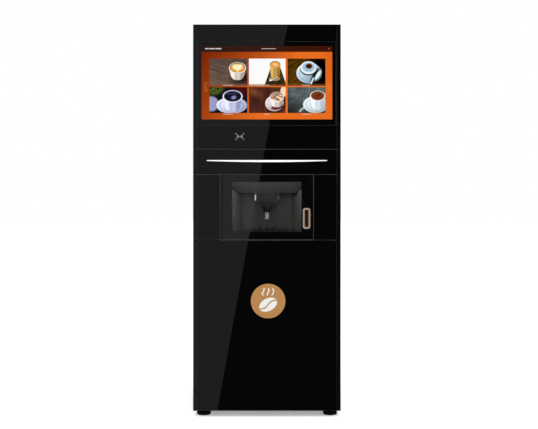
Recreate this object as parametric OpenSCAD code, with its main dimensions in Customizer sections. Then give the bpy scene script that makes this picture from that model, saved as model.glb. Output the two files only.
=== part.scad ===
// Free-standing hot coffee vending machine with a tall touch screen, a glazed serving
// niche behind a small door, and two full-width glass doors hinged at the left.
// Origin: middle of the footprint on the floor. +Z up, front faces -Y, +X to the right.

/* [Cabinet] */
// Overall width across the doors
cabinet_w = 667; // [640:1:820]
// Overall height from the floor to the top cover
cabinet_h = 1776; // [1760:1:2150]
// Overall depth from the proud trim to the rear screws
cabinet_d = 690; // [660:1:840]
// Sheet steel thickness of panels and trays
sheet = 1.5; // [1:0.1:2.2]
// Side of the square tube of the inner frame
tube = 25; // [20:1:30]
// Height of the body above the floor
foot_h = 26; // [22:1:40]
// Radius of a levelling foot's pad
foot_r = 32; // [20:1:36]
// Distance of each foot's centre in from the body's sides and back
foot_inset = 45; // [40:1:60]

/* [Doors] */
// Thickness of both main doors
door_t = 40; // [36:1:60]
// Gap between a closed door and the cabinet
door_gap = 6; // [5:0.5:9]
// Width of the dark strip down each side of the doors
strip_w = 17.5; // [16:0.5:24]
// Thickness of the front glass
glass_t = 5; // [4:0.5:6]
// Width of the seams between front pieces
seam = 2.5; // [2.5:0.1:4]
// Height of the seam between the lower and the upper door
seam_low_z = 797.7; // [760:0.1:820]
// Height of the seam over the serving row
seam_mid_z = 1095.5; // [1095:0.1:1120]
// Height of the seam over the trim bar
seam_high_z = 1210; // [1205:1:1225]
// Radius of the main hinge pins
hinge_pin_r = 3; // [2.5:0.1:4]
// Radial clearance of every turning or sliding fit
fit = 0.05; // [0.03:0.01:0.08]

/* [Screen] */
// Width of the lit picture area
screen_w = 597.6; // [520:0.1:600]
// Height of the lit picture area
screen_h = 336.2; // [290:0.1:338]
// Distance from the door's top down to the touch glass
screen_drop = 78; // [60:1:100]
// Width of the touch glass
touch_w = 623; // [615:1:628]
// Height of the touch glass
touch_h = 377; // [365:1:385]

/* [Serving niche] */
// Half the width of the serving door
serve_half_w = 209; // [200:1:240]
// Half the width of the window in the serving door
window_half_w = 156.5; // [140:0.5:158]
// Bottom of the window
window_low_z = 836.7; // [830:0.1:850]
// Top of the window
window_high_z = 1062; // [1040:1:1066]
// Depth of the niche behind the glass
niche_d = 230; // [220:1:245]
// Half the width of the niche at its back wall
niche_back_half_w = 116; // [100:1:130]
// Height of the drip grid's top
grid_z = 835; // [832:1:840]
// Half the width of the outlet head
outlet_half_w = 58; // [45:1:64]

/* [Trim] */
// How far the bar, pull and badge stand proud of the glass
proud = 4; // [3:0.5:6]
// Half the length of the bowed trim bar
bar_half_w = 274; // [240:1:290]
// Thickness of the trim bar at its middle
bar_mid_t = 9.5; // [8:0.5:14]
// Thickness of the trim bar at its ends
bar_end_t = 5.5; // [4:0.5:7]
// Radius of the round badge on the lower door
badge_r = 78; // [60:1:95]
// Height of the badge's centre
badge_z = 524; // [400:1:600]
// Width of the pull on the serving door
pull_w = 34; // [30:1:36]
// Height of the pull on the serving door
pull_h = 94; // [80:1:110]
// Distance of the pull's centre from the middle
pull_x = 179.6; // [176:0.1:184]

/* [Brewing] */
// Width and depth of the bean hopper
hopper_w = 190; // [150:1:210]
// Inner radius of the brewing chamber
chamber_r = 26; // [20:1:31]
// Width of a powder canister
canister_w = 100; // [80:1:108]
// Depth of a powder canister
canister_d = 220; // [180:1:225]
// Radius of the boiler
boiler_r = 62; // [50:1:70]
// Width of the fresh water tank
tank_w = 200; // [160:1:205]

/* [Hidden] */
$fn = 64;

// Main planes
right = cabinet_w / 2;
left = -right;
front = -cabinet_d / 2 + proud;
back = cabinet_d / 2;
door_back = front + door_t;
body_front = door_back + door_gap;
screw_head_h = 1.5;
screw_r = 2;
screw_head_r = 4.5;
rear_face = back - screw_head_h;
top_t = 2;
pane_play = 0.5;
pane_half_w = right - strip_w - pane_play;
door_top_z = cabinet_h - top_t - 0.6;
door_bottom_z = foot_h + 2;
plinth_z = 130;
panel_gap = 0.8;
inner_half_w = right - sheet;
upright_x = inner_half_w - tube / 2;
inner_edge = inner_half_w - tube;
edge_bar = 2.5;
plate_t = 2;

// Main hinge line
hinge_x = left + 7;
hinge_y = door_back - 7;
hinge_bite = 18;
ear_w = 13;

// Levelling feet: the front pair stands just behind the closed doors
foot_front_gap = 15;
foot_spots = [for (sx = [-1, 1], y = [body_front + foot_front_gap, back - foot_inset])
    [sx * (right - foot_inset), y]];

// Decks and shelves
deck_over_seam = 5.3;
shelf_over_deck = 524;
bowls_over_deck = 373;
deck_z = seam_low_z + deck_over_seam;
works_y = 60;
shelf_z = deck_z + shelf_over_deck;
bowl_shelf_z = deck_z + bowls_over_deck;
shelf_front_y = works_y - canister_d + 10;

// Niche
niche_front_y = front + 22;
niche_bend_y = front + 80;
niche_back_y = front + niche_d;
niche_half_w = window_half_w + 2;
niche_wall = 3;
hood_end_y = front + 152;
hood_end_z = deck_z + 203;
grid_t = 5;
outlet_y = front + 183;
outlet_half_d = 28;
outlet_low_z = hood_end_z - 43;
outlet_top_z = hood_end_z + 74;
outlet_play = 0.4;
spout_top_z = outlet_low_z - 46;
spout_h = 33;
spout_r = 3.75;
spout_pitch = 4.6;
hood_angle = atan((window_high_z - hood_end_z) / (hood_end_y - niche_front_y));
lamp_r = 8;
lamp_x = 100;
lamp_y = front + 70;

// Serving door
serve_t = 17;
serve_low_z = seam_low_z + 4.5;
serve_high_z = seam_mid_z - 2.3;
serve_hinge_x = -serve_half_w + 4;
serve_hinge_y = front + 4;
serve_pin_r = 2.45;
serve_pin_bite = 12;
stile_w = 8;
pull_rim = 8.5;
pull_wall = 1.5;
pull_z = 897;
serve_open_half_w = serve_half_w + 3;

// Locks
lock_r = 9;
lock_z_upper = 1000;
lock_z_lower = 450;
lock_y = front + 20;
striker_y = lock_y + 33;

// Powder, beans and water
milk_x = -inner_edge + 68;
cocoa_x = milk_x + canister_w + 14;
canister_h = 210;
canister_wall = 2.5;
auger_z = 24;
auger_r = 14;
canister_back_y = works_y - 10;
canister_front_y = canister_back_y - canister_d;
nozzle_r = 17;
nozzle_y = canister_front_y - nozzle_r;
lid_t = 4;
bowl_r = 42;
bowl_h = 92;
bean_x = inner_edge - 140;
bean_y = works_y - 20 - hopper_w / 2;
hopper_h = 210;
hopper_neck = 50;
grinder_r = 55;
grinder_h = 112;
burr_r = 38;
brew_low_z = deck_z + 60;
brew_h = 210;
chamber_wall = 5;
chamber_h = 70;
piston_travel = 45;
piston_h = 26;
boiler_x = -inner_edge + 120;
boiler_h = 250;
bay_floor_z = foot_h + plate_t;
tank_h = 420;
fan_r = 52;
fan_z = cabinet_h - 230;
fan_x = -150;
fan_depth = 26;
inlet_x = inner_edge - 60;
inlet_z = 260;

// ---------- helpers ----------

// Box between two values on each axis
module block(x0, x1, y0, y1, z0, z1) {
    translate([x0, y0, z0]) cube([x1 - x0, y1 - y0, z1 - z0]);
}

// Cylinder along Y, starting at y0
module rod_y(x, y0, y1, z, r) {
    translate([x, y0, z]) rotate([-90, 0, 0]) cylinder(r = r, h = y1 - y0);
}

// Cylinder along X, starting at x0
module rod_x(x0, x1, y, z, r) {
    translate([x0, y, z]) rotate([0, 90, 0]) cylinder(r = r, h = x1 - x0);
}

// Rounded rectangle with true arcs
module round_rect(w, h, r) {
    square([w - 2 * r, h], center = true);
    square([w, h - 2 * r], center = true);
    for (sx = [-1, 1], sy = [-1, 1])
        translate([sx * (w / 2 - r), sy * (h / 2 - r)]) circle(r = r);
}

// Outline in X and Z, carried along Y from y0 to y1
module along_y(y0, y1) {
    translate([0, y1, 0]) rotate([90, 0, 0]) linear_extrude(y1 - y0) children();
}

// Outline in Y and Z, carried along X from x0 to x1
module along_x(x0, x1) {
    translate([x0, 0, 0]) rotate([90, 0, 90]) linear_extrude(x1 - x0) children();
}

// Open box with a floor
module bin(x0, x1, y0, y1, z0, z1, wall) {
    difference() {
        block(x0, x1, y0, y1, z0, z1);
        block(x0 + wall, x1 - wall, y0 + wall, y1 - wall, z0 + wall, z1 + 1);
    }
}

// ---------- cabinet ----------

// Ear of the main hinge, with a pin up, a pin down or both
module hinge_ear(z, t, up, down) {
    block(left + 1, left + 1 + ear_w, hinge_y - 6, body_front, z, z + t);
    if (up) translate([hinge_x, hinge_y, z]) cylinder(r = hinge_pin_r, h = t + hinge_bite);
    if (down) translate([hinge_x, hinge_y, z - hinge_bite]) cylinder(r = hinge_pin_r, h = t + hinge_bite);
}

module base_tray() {
    color("#26282a") difference() {
        union() {
            block(left, right, body_front, rear_face, foot_h, bay_floor_z);
            for (s = [-1, 1])
                block(min(s * right, s * inner_half_w), max(s * right, s * inner_half_w),
                    body_front, rear_face, foot_h, plinth_z);
            block(left, right, rear_face - sheet, rear_face, foot_h, plinth_z);
            block(left, right, body_front, body_front + sheet, foot_h, foot_h + 30);
            for (p = foot_spots) translate([p[0], p[1], foot_h]) cylinder(r = 10, h = 32);
            // low rails between the tank, the bucket and the bin
            for (x = bay_rails) block(x - 2, x + 2, bay_front_y, bay_back_y, foot_h, bay_floor_z + 18);
            hinge_ear(foot_h, sheet, true, false);
        }
        for (p = foot_spots) translate([p[0], p[1], foot_h - 1]) cylinder(r = stud_r + fit, h = 34);
    }
}

module side_panel(s) {
    flange = 20;
    low = plinth_z + panel_gap;
    high = cabinet_h - top_t;
    x_in = s * inner_half_w;
    x_out = s * right;
    x_flange = s * (right - flange);
    block(min(x_in, x_out), max(x_in, x_out), body_front, rear_face - sheet, low, high);
    block(min(x_flange, x_out), max(x_flange, x_out), body_front, body_front + sheet, low, high);
    difference() {
        block(min(x_flange, x_out), max(x_flange, x_out),
            rear_face - 2 * sheet, rear_face - sheet, low, high);
        screw_holes();
    }
}

module side_panel_left() {
    web_y = body_front - sheet;
    color("#1d1f21") {
        side_panel(-1);
        // webs that carry the top and middle hinge ears
        block(left + 1, left + 1 + ear_w, web_y, body_front, cabinet_h - 24, cabinet_h);
        hinge_ear(cabinet_h - top_t, top_t, false, true);
        block(left + 1, left + 1 + ear_w, web_y, body_front, seam_low_z - 15, seam_low_z + 15);
        hinge_ear(seam_low_z - sheet / 2, sheet, true, true);
    }
}

module side_panel_right() {
    color("#1d1f21") side_panel(1);
}

module top_cover() {
    lip = 14;
    color("#1d1f21") {
        block(left, right, body_front, rear_face, cabinet_h - top_t, cabinet_h);
        for (s = [-1, 1])
            translate([s * (upright_x - tube / 2 - 1.5), 0, 0])
                block(-0.75, 0.75, body_front + tube + 8, rear_face - tube - 8,
                    cabinet_h - top_t - lip, cabinet_h - top_t);
    }
}

module rear_panel() {
    y0 = rear_face - sheet;
    slot_pitch = 12;
    color("#2b2d2f") {
        difference() {
            block(left, right, y0, rear_face, plinth_z + panel_gap, cabinet_h - top_t);
            rod_y(fan_x, y0 - 1, rear_face + 1, fan_z, fan_r + 4);
            for (sx = [-1, 1], i = [0:11])
                translate([sx * 120, 0, 420 + i * slot_pitch])
                    block(-70, 70, y0 - 1, rear_face + 1, 0, 5);
            block(inlet_x - 26, inlet_x + 26, y0 - 1, rear_face + 1, inlet_z - 40, inlet_z + 40);
            screw_holes();
        }
        // fan guard: rings on four spokes
        along_y(y0, rear_face) translate([fan_x, fan_z]) {
            for (r = [18, 32, 46]) difference() {
                circle(r = r);
                circle(r = r - 3);
            }
            for (a = [0, 90])
                rotate(a + 45) square([2 * fan_r + 9, 3], center = true);
        }
        // fan shroud and the spindle that carries the rotor
        along_y(y0 - fan_depth, y0) translate([fan_x, fan_z]) difference() {
            circle(r = fan_r + 6);
            circle(r = fan_r + 3);
        }
        along_y(y0 - 4, y0) translate([fan_x, fan_z])
            for (a = [0, 90]) rotate(a + 45) square([2 * fan_r + 9, 6], center = true);
        rod_y(fan_x, y0 - 22, y0 - 1, fan_z, 3);
    }
}

// Fixing places down both rear edges and along the plinth
screw_spots = [for (sx = [-1, 1], i = [0:4])
    [sx * (right - 10), 180 + i * (cabinet_h - 240) / 4]];

// Clearance holes for the screws through the rear panel and the side panels' flanges
module screw_holes() {
    for (p = screw_spots) rod_y(p[0], rear_face - 2 * sheet - 1, rear_face + 1, p[1], screw_r + 0.2);
}

module rear_screws() {
    color("#8d9093") for (p = screw_spots) {
        rod_y(p[0], rear_face - 2 * sheet, rear_face, p[1], screw_r);
        rod_y(p[0], rear_face, back, p[1], screw_head_r);
    }
}

module chassis_frame() {
    z0 = bay_floor_z;
    z1 = cabinet_h - top_t;
    y_front = body_front + sheet;
    y_rear = rear_face - 2 * sheet;
    shelf_end_x = cocoa_x + canister_w / 2 + 4;
    chute_half_w = 38;
    color("#6c7074") {
        difference() {
            union() {
                for (s = [-1, 1]) translate([s * upright_x, 0, 0]) {
                    block(-tube / 2, tube / 2, y_front, y_front + tube, z0, z1);
                    block(-tube / 2, tube / 2, y_rear - tube, y_rear, z0, z1);
                    block(-tube / 2, tube / 2, y_front, y_rear, z1 - tube, z1);
                    block(-tube / 2, tube / 2, y_front, y_rear, deck_z - 22, deck_z);
                    // post that carries the works plate
                    block(-tube / 2, tube / 2, works_y - 8, works_y + 8, deck_z, z1);
                }
                block(-inner_half_w, inner_half_w, y_front, y_front + tube, z1 - tube, z1);
                block(-inner_half_w, inner_half_w, y_rear - tube, y_rear, z1 - tube, z1);
                block(-inner_half_w, inner_half_w, y_front, y_rear, deck_z - plate_t, deck_z);
                block(-inner_half_w, inner_half_w, works_y, works_y + plate_t, deck_z, z1 - tube - 60);
                // shelves for the canisters and for the mixers
                block(-inner_edge, shelf_end_x, shelf_front_y, works_y, shelf_z - plate_t, shelf_z);
                block(-inner_edge, shelf_end_x, nozzle_y + 28, works_y,
                    bowl_shelf_z - plate_t, bowl_shelf_z);
                // striker pins for the two door locks
                for (z = [lock_z_upper, lock_z_lower])
                    rod_x(inner_edge - 11, inner_edge + 1, striker_y, z - 9, 2.5);
            }
            // grounds chute and drain through the deck
            block(bean_x - chute_half_w, bean_x + chute_half_w, bean_y - chute_half_w,
                bean_y + chute_half_w, deck_z - 3, deck_z + 1);
            translate([-150, works_y - 40, deck_z - 3]) cylinder(r = 14, h = 5);
        }
    }
}

// ---------- niche ----------

// Plan of the niche, drawn in by i on every side
module niche_plan(i) {
    polygon([[-niche_half_w + i, niche_front_y + i], [niche_half_w - i, niche_front_y + i],
        [niche_half_w - i, niche_bend_y], [niche_back_half_w - i, niche_back_y - i],
        [-niche_back_half_w + i, niche_back_y - i], [-niche_half_w + i, niche_bend_y]]);
}

// Side view of the niche's inside, with its sloping hood
module niche_profile(low_z) {
    polygon([[niche_front_y - 5, low_z], [niche_back_y, low_z], [niche_back_y, hood_end_z],
        [hood_end_y, hood_end_z], [niche_front_y - 5, window_high_z + 4]]);
}

module niche_liner() {
    liner_top_z = window_high_z + 12;
    floor_z = deck_z + niche_wall;
    color("#3c3e40") difference() {
        union() {
            translate([0, 0, deck_z]) linear_extrude(liner_top_z - deck_z) niche_plan(-niche_wall);
            block(-niche_half_w - 16, niche_half_w + 16, niche_front_y, niche_front_y + 2,
                deck_z + 1, liner_top_z + 8);
        }
        intersection() {
            translate([0, 0, floor_z]) linear_extrude(liner_top_z) niche_plan(0);
            along_x(-niche_half_w - 1, niche_half_w + 1) niche_profile(floor_z);
        }
        // open front
        block(-niche_half_w, niche_half_w, niche_front_y - 5, niche_front_y + 1, floor_z, window_high_z);
        // guide slot for the outlet head
        block(-outlet_half_w - outlet_play, outlet_half_w + outlet_play,
            outlet_y - outlet_half_d - outlet_play, outlet_y + outlet_half_d + outlet_play,
            hood_end_z - 1, liner_top_z + 1);
        for (s = [-1, 1]) lamp_shape(s, lamp_r + 0.3, 3);
    }
}

// Round lamp let into the hood
module lamp_shape(s, r, depth) {
    hood_z = hood_end_z + (hood_end_y - lamp_y) * tan(hood_angle);
    translate([s * lamp_x, lamp_y, hood_z]) rotate([-hood_angle, 0, 0]) cylinder(r = r, h = depth);
}

module niche_lamps() {
    color("#fff6df") for (s = [-1, 1]) lamp_shape(s, lamp_r, 3);
}

module outlet_head() {
    color("#242628") difference() {
        union() {
            block(-outlet_half_w, outlet_half_w, outlet_y - outlet_half_d, outlet_y + outlet_half_d,
                outlet_low_z, outlet_top_z);
            block(-37, 37, outlet_y - 17, outlet_y + 17, outlet_low_z - 18, outlet_low_z);
            for (s = [-1, 1]) translate([s * 26, outlet_y - 8, outlet_low_z - 23]) cylinder(r = 5, h = 6);
            translate([0, outlet_y, spout_top_z]) cylinder(r1 = 13, r2 = 27, h = 28);
        }
        // drink channel down to the spouts
        translate([0, outlet_y, spout_top_z - 1]) cylinder(r = 2.5, h = outlet_top_z - spout_top_z + 2);
        block(-outlet_half_w + 4, outlet_half_w - 4, outlet_y - outlet_half_d + 4,
            outlet_y + outlet_half_d - 4, outlet_low_z + 4, outlet_top_z + 1);
    }
}

module drink_spouts() {
    color("#dfe2e4") for (s = [-1, 1]) translate([s * spout_pitch, outlet_y, spout_top_z - spout_h])
        difference() {
            cylinder(r = spout_r, h = spout_h);
            translate([0, 0, -1]) cylinder(r = spout_r - 1.2, h = spout_h + 2);
        }
}

module drip_tray() {
    color("#1b1c1d") difference() {
        translate([0, 0, deck_z + niche_wall]) linear_extrude(grid_z - grid_t - deck_z - niche_wall)
            niche_plan(1);
        translate([0, 0, deck_z + niche_wall + 2]) linear_extrude(40) niche_plan(3);
    }
}

module drip_grid() {
    slot_pitch = 14;
    slot_half_w = 3;
    color("#2a2c2e") {
        difference() {
            translate([0, 0, grid_z - grid_t]) linear_extrude(grid_t) niche_plan(1);
            for (i = [-7:7])
                translate([i * slot_pitch, 0, 0])
                    block(-slot_half_w, slot_half_w, niche_front_y + 16, outlet_y - 40,
                        grid_z - grid_t - 1, grid_z + 1);
        }
        // curved seat with three prongs that stand the cup under the spouts
        translate([0, outlet_y, grid_z]) {
            difference() {
                cylinder(r = 38, h = 2);
                translate([0, 0, -1]) cylinder(r = 32, h = 4);
            }
            for (a = [-165, -90, -15])
                rotate(a) translate([35, 0, 0]) cylinder(r = 2.6, h = 15);
        }
    }
}

// ---------- upper door ----------

// Frame of a main door: side bars, edge bars and the plate that backs the glass
module door_frame(z0, z1) {
    difference() {
        block(left, right, front, door_back, z0, z1);
        block(-right + strip_w, right - strip_w, front - 1, front + glass_t,
            z0 + edge_bar - 1, z1 - edge_bar + 1);
        block(-right + strip_w, right - strip_w, front + glass_t + plate_t, door_back + 1,
            z0 + edge_bar, z1 - edge_bar);
        for (z = [z0 - 1, z1 - hinge_bite - 2])
            translate([hinge_x, hinge_y, z]) cylinder(r = hinge_pin_r + fit, h = hinge_bite + 3);
    }
}

// Shallow groove round the side strips that carries a seam across them
module strip_groove(z) {
    for (s = [-1, 1])
        translate([s * right, 0, 0]) block(-strip_w - 1, strip_w + 1, front - 1, front + 1.2, z - 1, z + 1);
    for (s = [-1, 1])
        translate([s * right, 0, 0]) block(-1.2, 1.2, front - 1, door_back + 1, z - 1, z + 1);
}

module lock_bore(z) {
    rod_x(right - strip_w - 1, right + 1, lock_y, z, lock_r + fit);
}

upper_low_z = seam_low_z + seam / 2;
screen_z = door_top_z - screen_drop - touch_h / 2;
display_play = 8;
reader_x = -122.5;
reader_z = seam_high_z + 57;
reader_half_w = 29;
reader_d = 16;
rail_t = 5;

module upper_door_frame() {
    open_low = upper_low_z + edge_bar;
    open_high = seam_mid_z - seam / 2;
    lug_z = seam_mid_z + seam / 2 - 0.6;
    color("#1d1f21") {
        difference() {
            door_frame(upper_low_z, door_top_z);
            block(-screen_w / 2 - display_play, screen_w / 2 + display_play, front + 1,
                front + glass_t + plate_t + 1, screen_z - screen_h / 2 - display_play,
                screen_z + screen_h / 2 + display_play);
            block(-serve_open_half_w, serve_open_half_w, front + 1, door_back + 1, open_low, open_high);
            // the opening has no sill, so the drip tray lifts out freely
            block(-serve_open_half_w, serve_open_half_w, front - 1, door_back + 1,
                upper_low_z - 1, open_low + 1);
            block(reader_x - reader_half_w - 1, reader_x + reader_half_w + 1, front + 1,
                front + glass_t + plate_t + 1, reader_z - reader_half_w - 1, reader_z + reader_half_w + 1);
            strip_groove(seam_mid_z);
            strip_groove(seam_high_z);
            lock_bore(lock_z_upper);
        }
        // rails round the serving opening
        for (s = [-1, 1])
            translate([s * (serve_open_half_w + rail_t / 2), 0, 0])
                block(-rail_t / 2, rail_t / 2, front + glass_t + plate_t, door_back,
                    upper_low_z, open_high + rail_t);
        block(-serve_open_half_w, serve_open_half_w, front + glass_t + plate_t, door_back,
            open_high, open_high + rail_t);
        block(-right + strip_w, right - strip_w, front + glass_t + plate_t, door_back - 15,
            seam_high_z - 3, seam_high_z + 3);
        // lug and pins of the serving door's hinge
        block(-serve_half_w, -serve_half_w + stile_w, front + 1, front + glass_t + 1, open_high, lug_z);
        translate([serve_hinge_x, serve_hinge_y, serve_high_z - serve_pin_bite])
            cylinder(r = serve_pin_r, h = lug_z - serve_high_z + serve_pin_bite);
        translate([serve_hinge_x, serve_hinge_y, upper_low_z])
            cylinder(r = serve_pin_r, h = serve_low_z - upper_low_z + serve_pin_bite);
        block(-serve_half_w, -serve_half_w + stile_w, front + 1, front + glass_t + 3,
            upper_low_z, upper_low_z + 1.5);
    }
}

module header_glass() {
    color("#050608") difference() {
        block(-pane_half_w, pane_half_w, front, front + glass_t, seam_high_z + seam / 2,
            door_top_z - edge_bar);
        block(-touch_w / 2 - 1, touch_w / 2 + 1, front - 1, front + glass_t + 1,
            screen_z - touch_h / 2 - 1, screen_z + touch_h / 2 + 1);
    }
}

module touch_glass() {
    color("#0a0b0c") block(-touch_w / 2, touch_w / 2, front, front + glass_t,
        screen_z - touch_h / 2, screen_z + touch_h / 2);
}

module display_panel() {
    depth = 22;
    y0 = front + glass_t;
    rim = display_play - 2;
    color("#b4551f") {
        block(-screen_w / 2 - rim, screen_w / 2 + rim, y0, y0 + depth,
            screen_z - screen_h / 2 - rim, screen_z + screen_h / 2 + rim);
        block(-90, 90, y0 + depth, y0 + depth + 10, screen_z - 60, screen_z + 60);
    }
}

module payment_reader() {
    color("#202224") block(reader_x - reader_half_w, reader_x + reader_half_w, front + glass_t,
        front + glass_t + reader_d, reader_z - reader_half_w, reader_z + reader_half_w);
}

// Outline of a bar with a straight top and a bowed bottom
module bowed_bar(half_w, end_t, mid_t) {
    steps = 32;
    polygon(concat([[half_w, 0], [-half_w, 0]],
        [for (i = [0:steps]) let (u = -1 + 2 * i / steps)
            [u * half_w, -end_t - (mid_t - end_t) * (1 - u * u)]]));
}

bar_drop = 49;
bar_top_z = seam_high_z - bar_drop;

module bar_fascia() {
    color("#050608") {
        block(-pane_half_w, pane_half_w, front, front + glass_t, seam_mid_z + seam / 2,
            seam_high_z - seam / 2);
        // lip that bows out under the bar
        along_y(front - 1.4, front) translate([0, bar_top_z - bar_end_t - 0.01])
            difference() {
                bowed_bar(bar_half_w - 6, 0.3, 32);
                translate([0, 1]) bowed_bar(bar_half_w - 4, 1.4, bar_mid_t - bar_end_t + 1.6);
            }
    }
}

module trim_bar() {
    color("#f2f4f5") along_y(front - proud, front)
        translate([0, bar_top_z]) bowed_bar(bar_half_w, bar_end_t, bar_mid_t);
}

module side_fascia(s) {
    x0 = s > 0 ? serve_open_half_w : -pane_half_w;
    color("#050608") block(x0, x0 + pane_half_w - serve_open_half_w, front, front + glass_t,
        upper_low_z + edge_bar, seam_mid_z - seam / 2);
}

module left_fascia() { side_fascia(-1); }
module right_fascia() { side_fascia(1); }

// ---------- serving door ----------

module pull_hole(y0, y1, play) {
    along_y(y0, y1) translate([pull_x, pull_z])
        round_rect(pull_w - 2 * pull_rim + 2 * pull_wall + 2 * play,
            pull_h - 2 * pull_rim + 2 * pull_wall + 2 * play, 5 + play);
}

module serving_door_frame() {
    color("#0a0b0c") difference() {
        union() {
            block(-serve_half_w, serve_half_w, front + glass_t, front + serve_t, serve_low_z, serve_high_z);
            block(-serve_half_w, -serve_half_w + stile_w, front, front + serve_t, serve_low_z,
                serve_high_z);
        }
        block(-window_half_w, window_half_w, front - 1, front + serve_t + 1, window_low_z, window_high_z);
        pull_hole(front - 1, front + serve_t + 1, 0.3);
        for (z = [serve_low_z - 1, serve_high_z - serve_pin_bite - 1])
            translate([serve_hinge_x, serve_hinge_y, z])
                cylinder(r = serve_pin_r + fit, h = serve_pin_bite + 2);
    }
}

module serving_door_glass() {
    color("#101214", 0.35) difference() {
        block(-serve_half_w + stile_w + 0.4, serve_half_w, front, front + glass_t, serve_low_z,
            serve_high_z);
        pull_hole(front - 1, front + glass_t + 1, 0.3);
    }
}

module serving_door_pull() {
    inner_w = pull_w - 2 * pull_rim;
    inner_h = pull_h - 2 * pull_rim;
    color("#c08a62") difference() {
        union() {
            along_y(front - proud + 1, front) translate([pull_x, pull_z]) round_rect(pull_w, pull_h, 9);
            pull_hole(front - 1, front + serve_t - 2, 0);
        }
        along_y(front - proud, front + serve_t - 4) translate([pull_x, pull_z]) round_rect(inner_w,
            inner_h, 4);
    }
}

// ---------- lower door ----------

lower_high_z = seam_low_z - seam / 2;

module lower_door_frame() {
    color("#1d1f21") difference() {
        union() {
            door_frame(door_bottom_z, lower_high_z);
            // stiffening ribs behind the glass
            for (z = [240, 600]) block(-right + strip_w, right - strip_w,
                front + glass_t + plate_t, door_back - 22, z - 15, z + 15);
        }
        strip_groove(plinth_z);
        lock_bore(lock_z_lower);
    }
}

module lower_door_glass() {
    color("#050608") block(-pane_half_w, pane_half_w, front, front + glass_t,
        door_bottom_z + edge_bar, lower_high_z - edge_bar + 1);
}

module door_badge() {
    badge_x = 5.5;
    badge_t = 3;
    color("#b98546") rod_y(badge_x, front - badge_t, front, badge_z, badge_r);
}

// Lock barrel across the door's edge, with a hooked cam at its inner end
module door_lock(z) {
    cam_x = inner_edge - 5.5;
    cam_t = 3.5;
    arm = 42;
    arm_w = 10;
    hook_w = 19;
    color("#9a9da0") {
        difference() {
            rod_x(cam_x, right, lock_y, z, lock_r);
            block(right - 2, right + 1, lock_y - 1, lock_y + 1, z - 5, z + 5);
        }
        along_x(cam_x, cam_x + cam_t) translate([lock_y, z]) {
            circle(r = lock_r - 1);
            translate([-arm_w / 2, 0]) square([arm_w, arm]);
            translate([-arm_w / 2, arm - 4]) square([hook_w, 5]);
        }
    }
}

module upper_lock() { door_lock(lock_z_upper); }
module lower_lock() { door_lock(lock_z_lower); }

// ---------- beans and brewing ----------

hopper_low_z = shelf_z;
hopper_high_z = hopper_low_z + hopper_h;

// Square funnel, w across at the top and neck across at the bottom
module funnel(w, neck, z_low, z_slope, z_high) {
    outline = [[-neck / 2, z_low], [neck / 2, z_low], [w / 2, z_slope], [w / 2, z_high],
        [-w / 2, z_high], [-w / 2, z_slope]];
    intersection() {
        translate([bean_x, bean_y, 0]) along_y(-w, w) polygon(outline);
        translate([bean_x, bean_y, 0]) along_x(-w, w) polygon(outline);
    }
}

module bean_hopper() {
    wall = 3;
    color("#5b4a3c", 0.6) {
        difference() {
            funnel(hopper_w, hopper_neck, hopper_low_z, hopper_low_z + 80, hopper_high_z);
            funnel(hopper_w - 2 * wall, hopper_neck - 2 * wall, hopper_low_z - 1,
                hopper_low_z + 80, hopper_high_z + 1);
        }
        block(bean_x - 30, bean_x + 30, bean_y + hopper_w / 2, works_y,
            hopper_high_z - 40, hopper_high_z - 20);
        block(bean_x + 18, bean_x + 30, bean_y + hopper_w / 2, works_y,
            hopper_high_z - 60, hopper_high_z - 20);
    }
}

// Lid with a turned-down front edge and a hinge barrel behind
module flat_lid(x, w, y0, y1, z) {
    difference() {
        union() {
            block(x - w / 2, x + w / 2, y0, y1 - 4, z + 0.4, z + 0.4 + lid_t);
            block(x - 16, x + 16, y0 - 7, y0 + 1, z + 0.4, z + 0.4 + lid_t);
        }
        translate([x, 0, 0]) block(-w / 2 + 12, w / 2 - 12, y0 + 12, y1 - 16, z + 2.4, z + 9);
    }
}

module hopper_lid() {
    color("#2b2d2f") flat_lid(bean_x, hopper_w, bean_y - hopper_w / 2, bean_y + hopper_w / 2,
        hopper_high_z);
}

grinder_high_z = hopper_low_z;
grinder_low_z = grinder_high_z - grinder_h;
burr_z = grinder_high_z - 52;

module grinder() {
    color("#3a3c3e") difference() {
        union() {
            translate([bean_x, bean_y, grinder_low_z]) cylinder(r = grinder_r, h = grinder_h - 14);
            translate([bean_x, bean_y, grinder_low_z]) cylinder(r = hopper_neck / 2 + 8, h = grinder_h);
            block(bean_x - 22, bean_x + 22, bean_y, works_y, grinder_low_z + 8, grinder_low_z + 40);
            // spout that drops the grounds into the brewing chamber
            block(bean_x - 13, bean_x + 13, bean_y - grinder_r - 16, bean_y - grinder_r + 14,
                grinder_low_z - 26, grinder_low_z + 46);
        }
        translate([bean_x, bean_y, burr_z - 0.4]) cylinder(r = burr_r + 0.5, h = 14);
        translate([bean_x, bean_y, burr_z]) cylinder(r = hopper_neck / 2 - 6, h = 60);
        translate([bean_x, bean_y, burr_z - 20]) cylinder(r = 5 + fit, h = 30);
        translate([bean_x, bean_y - grinder_r - 3, grinder_low_z - 27]) cylinder(r = 8, h = 56);
    }
}

module grinder_burr() {
    color("#a9adb0") translate([bean_x, bean_y, 0]) {
        difference() {
            translate([0, 0, burr_z]) cylinder(r = burr_r, h = 8);
            for (a = [0:30:330])
                rotate(a) translate([14, -1, burr_z + 6]) cube([burr_r, 2, 3]);
        }
        translate([0, 0, burr_z - 18]) cylinder(r = 5, h = 20);
    }
}

chamber_low_z = brew_low_z + 20;
chamber_high_z = chamber_low_z + chamber_h;
piston_low_z = chamber_high_z + 6;

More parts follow.
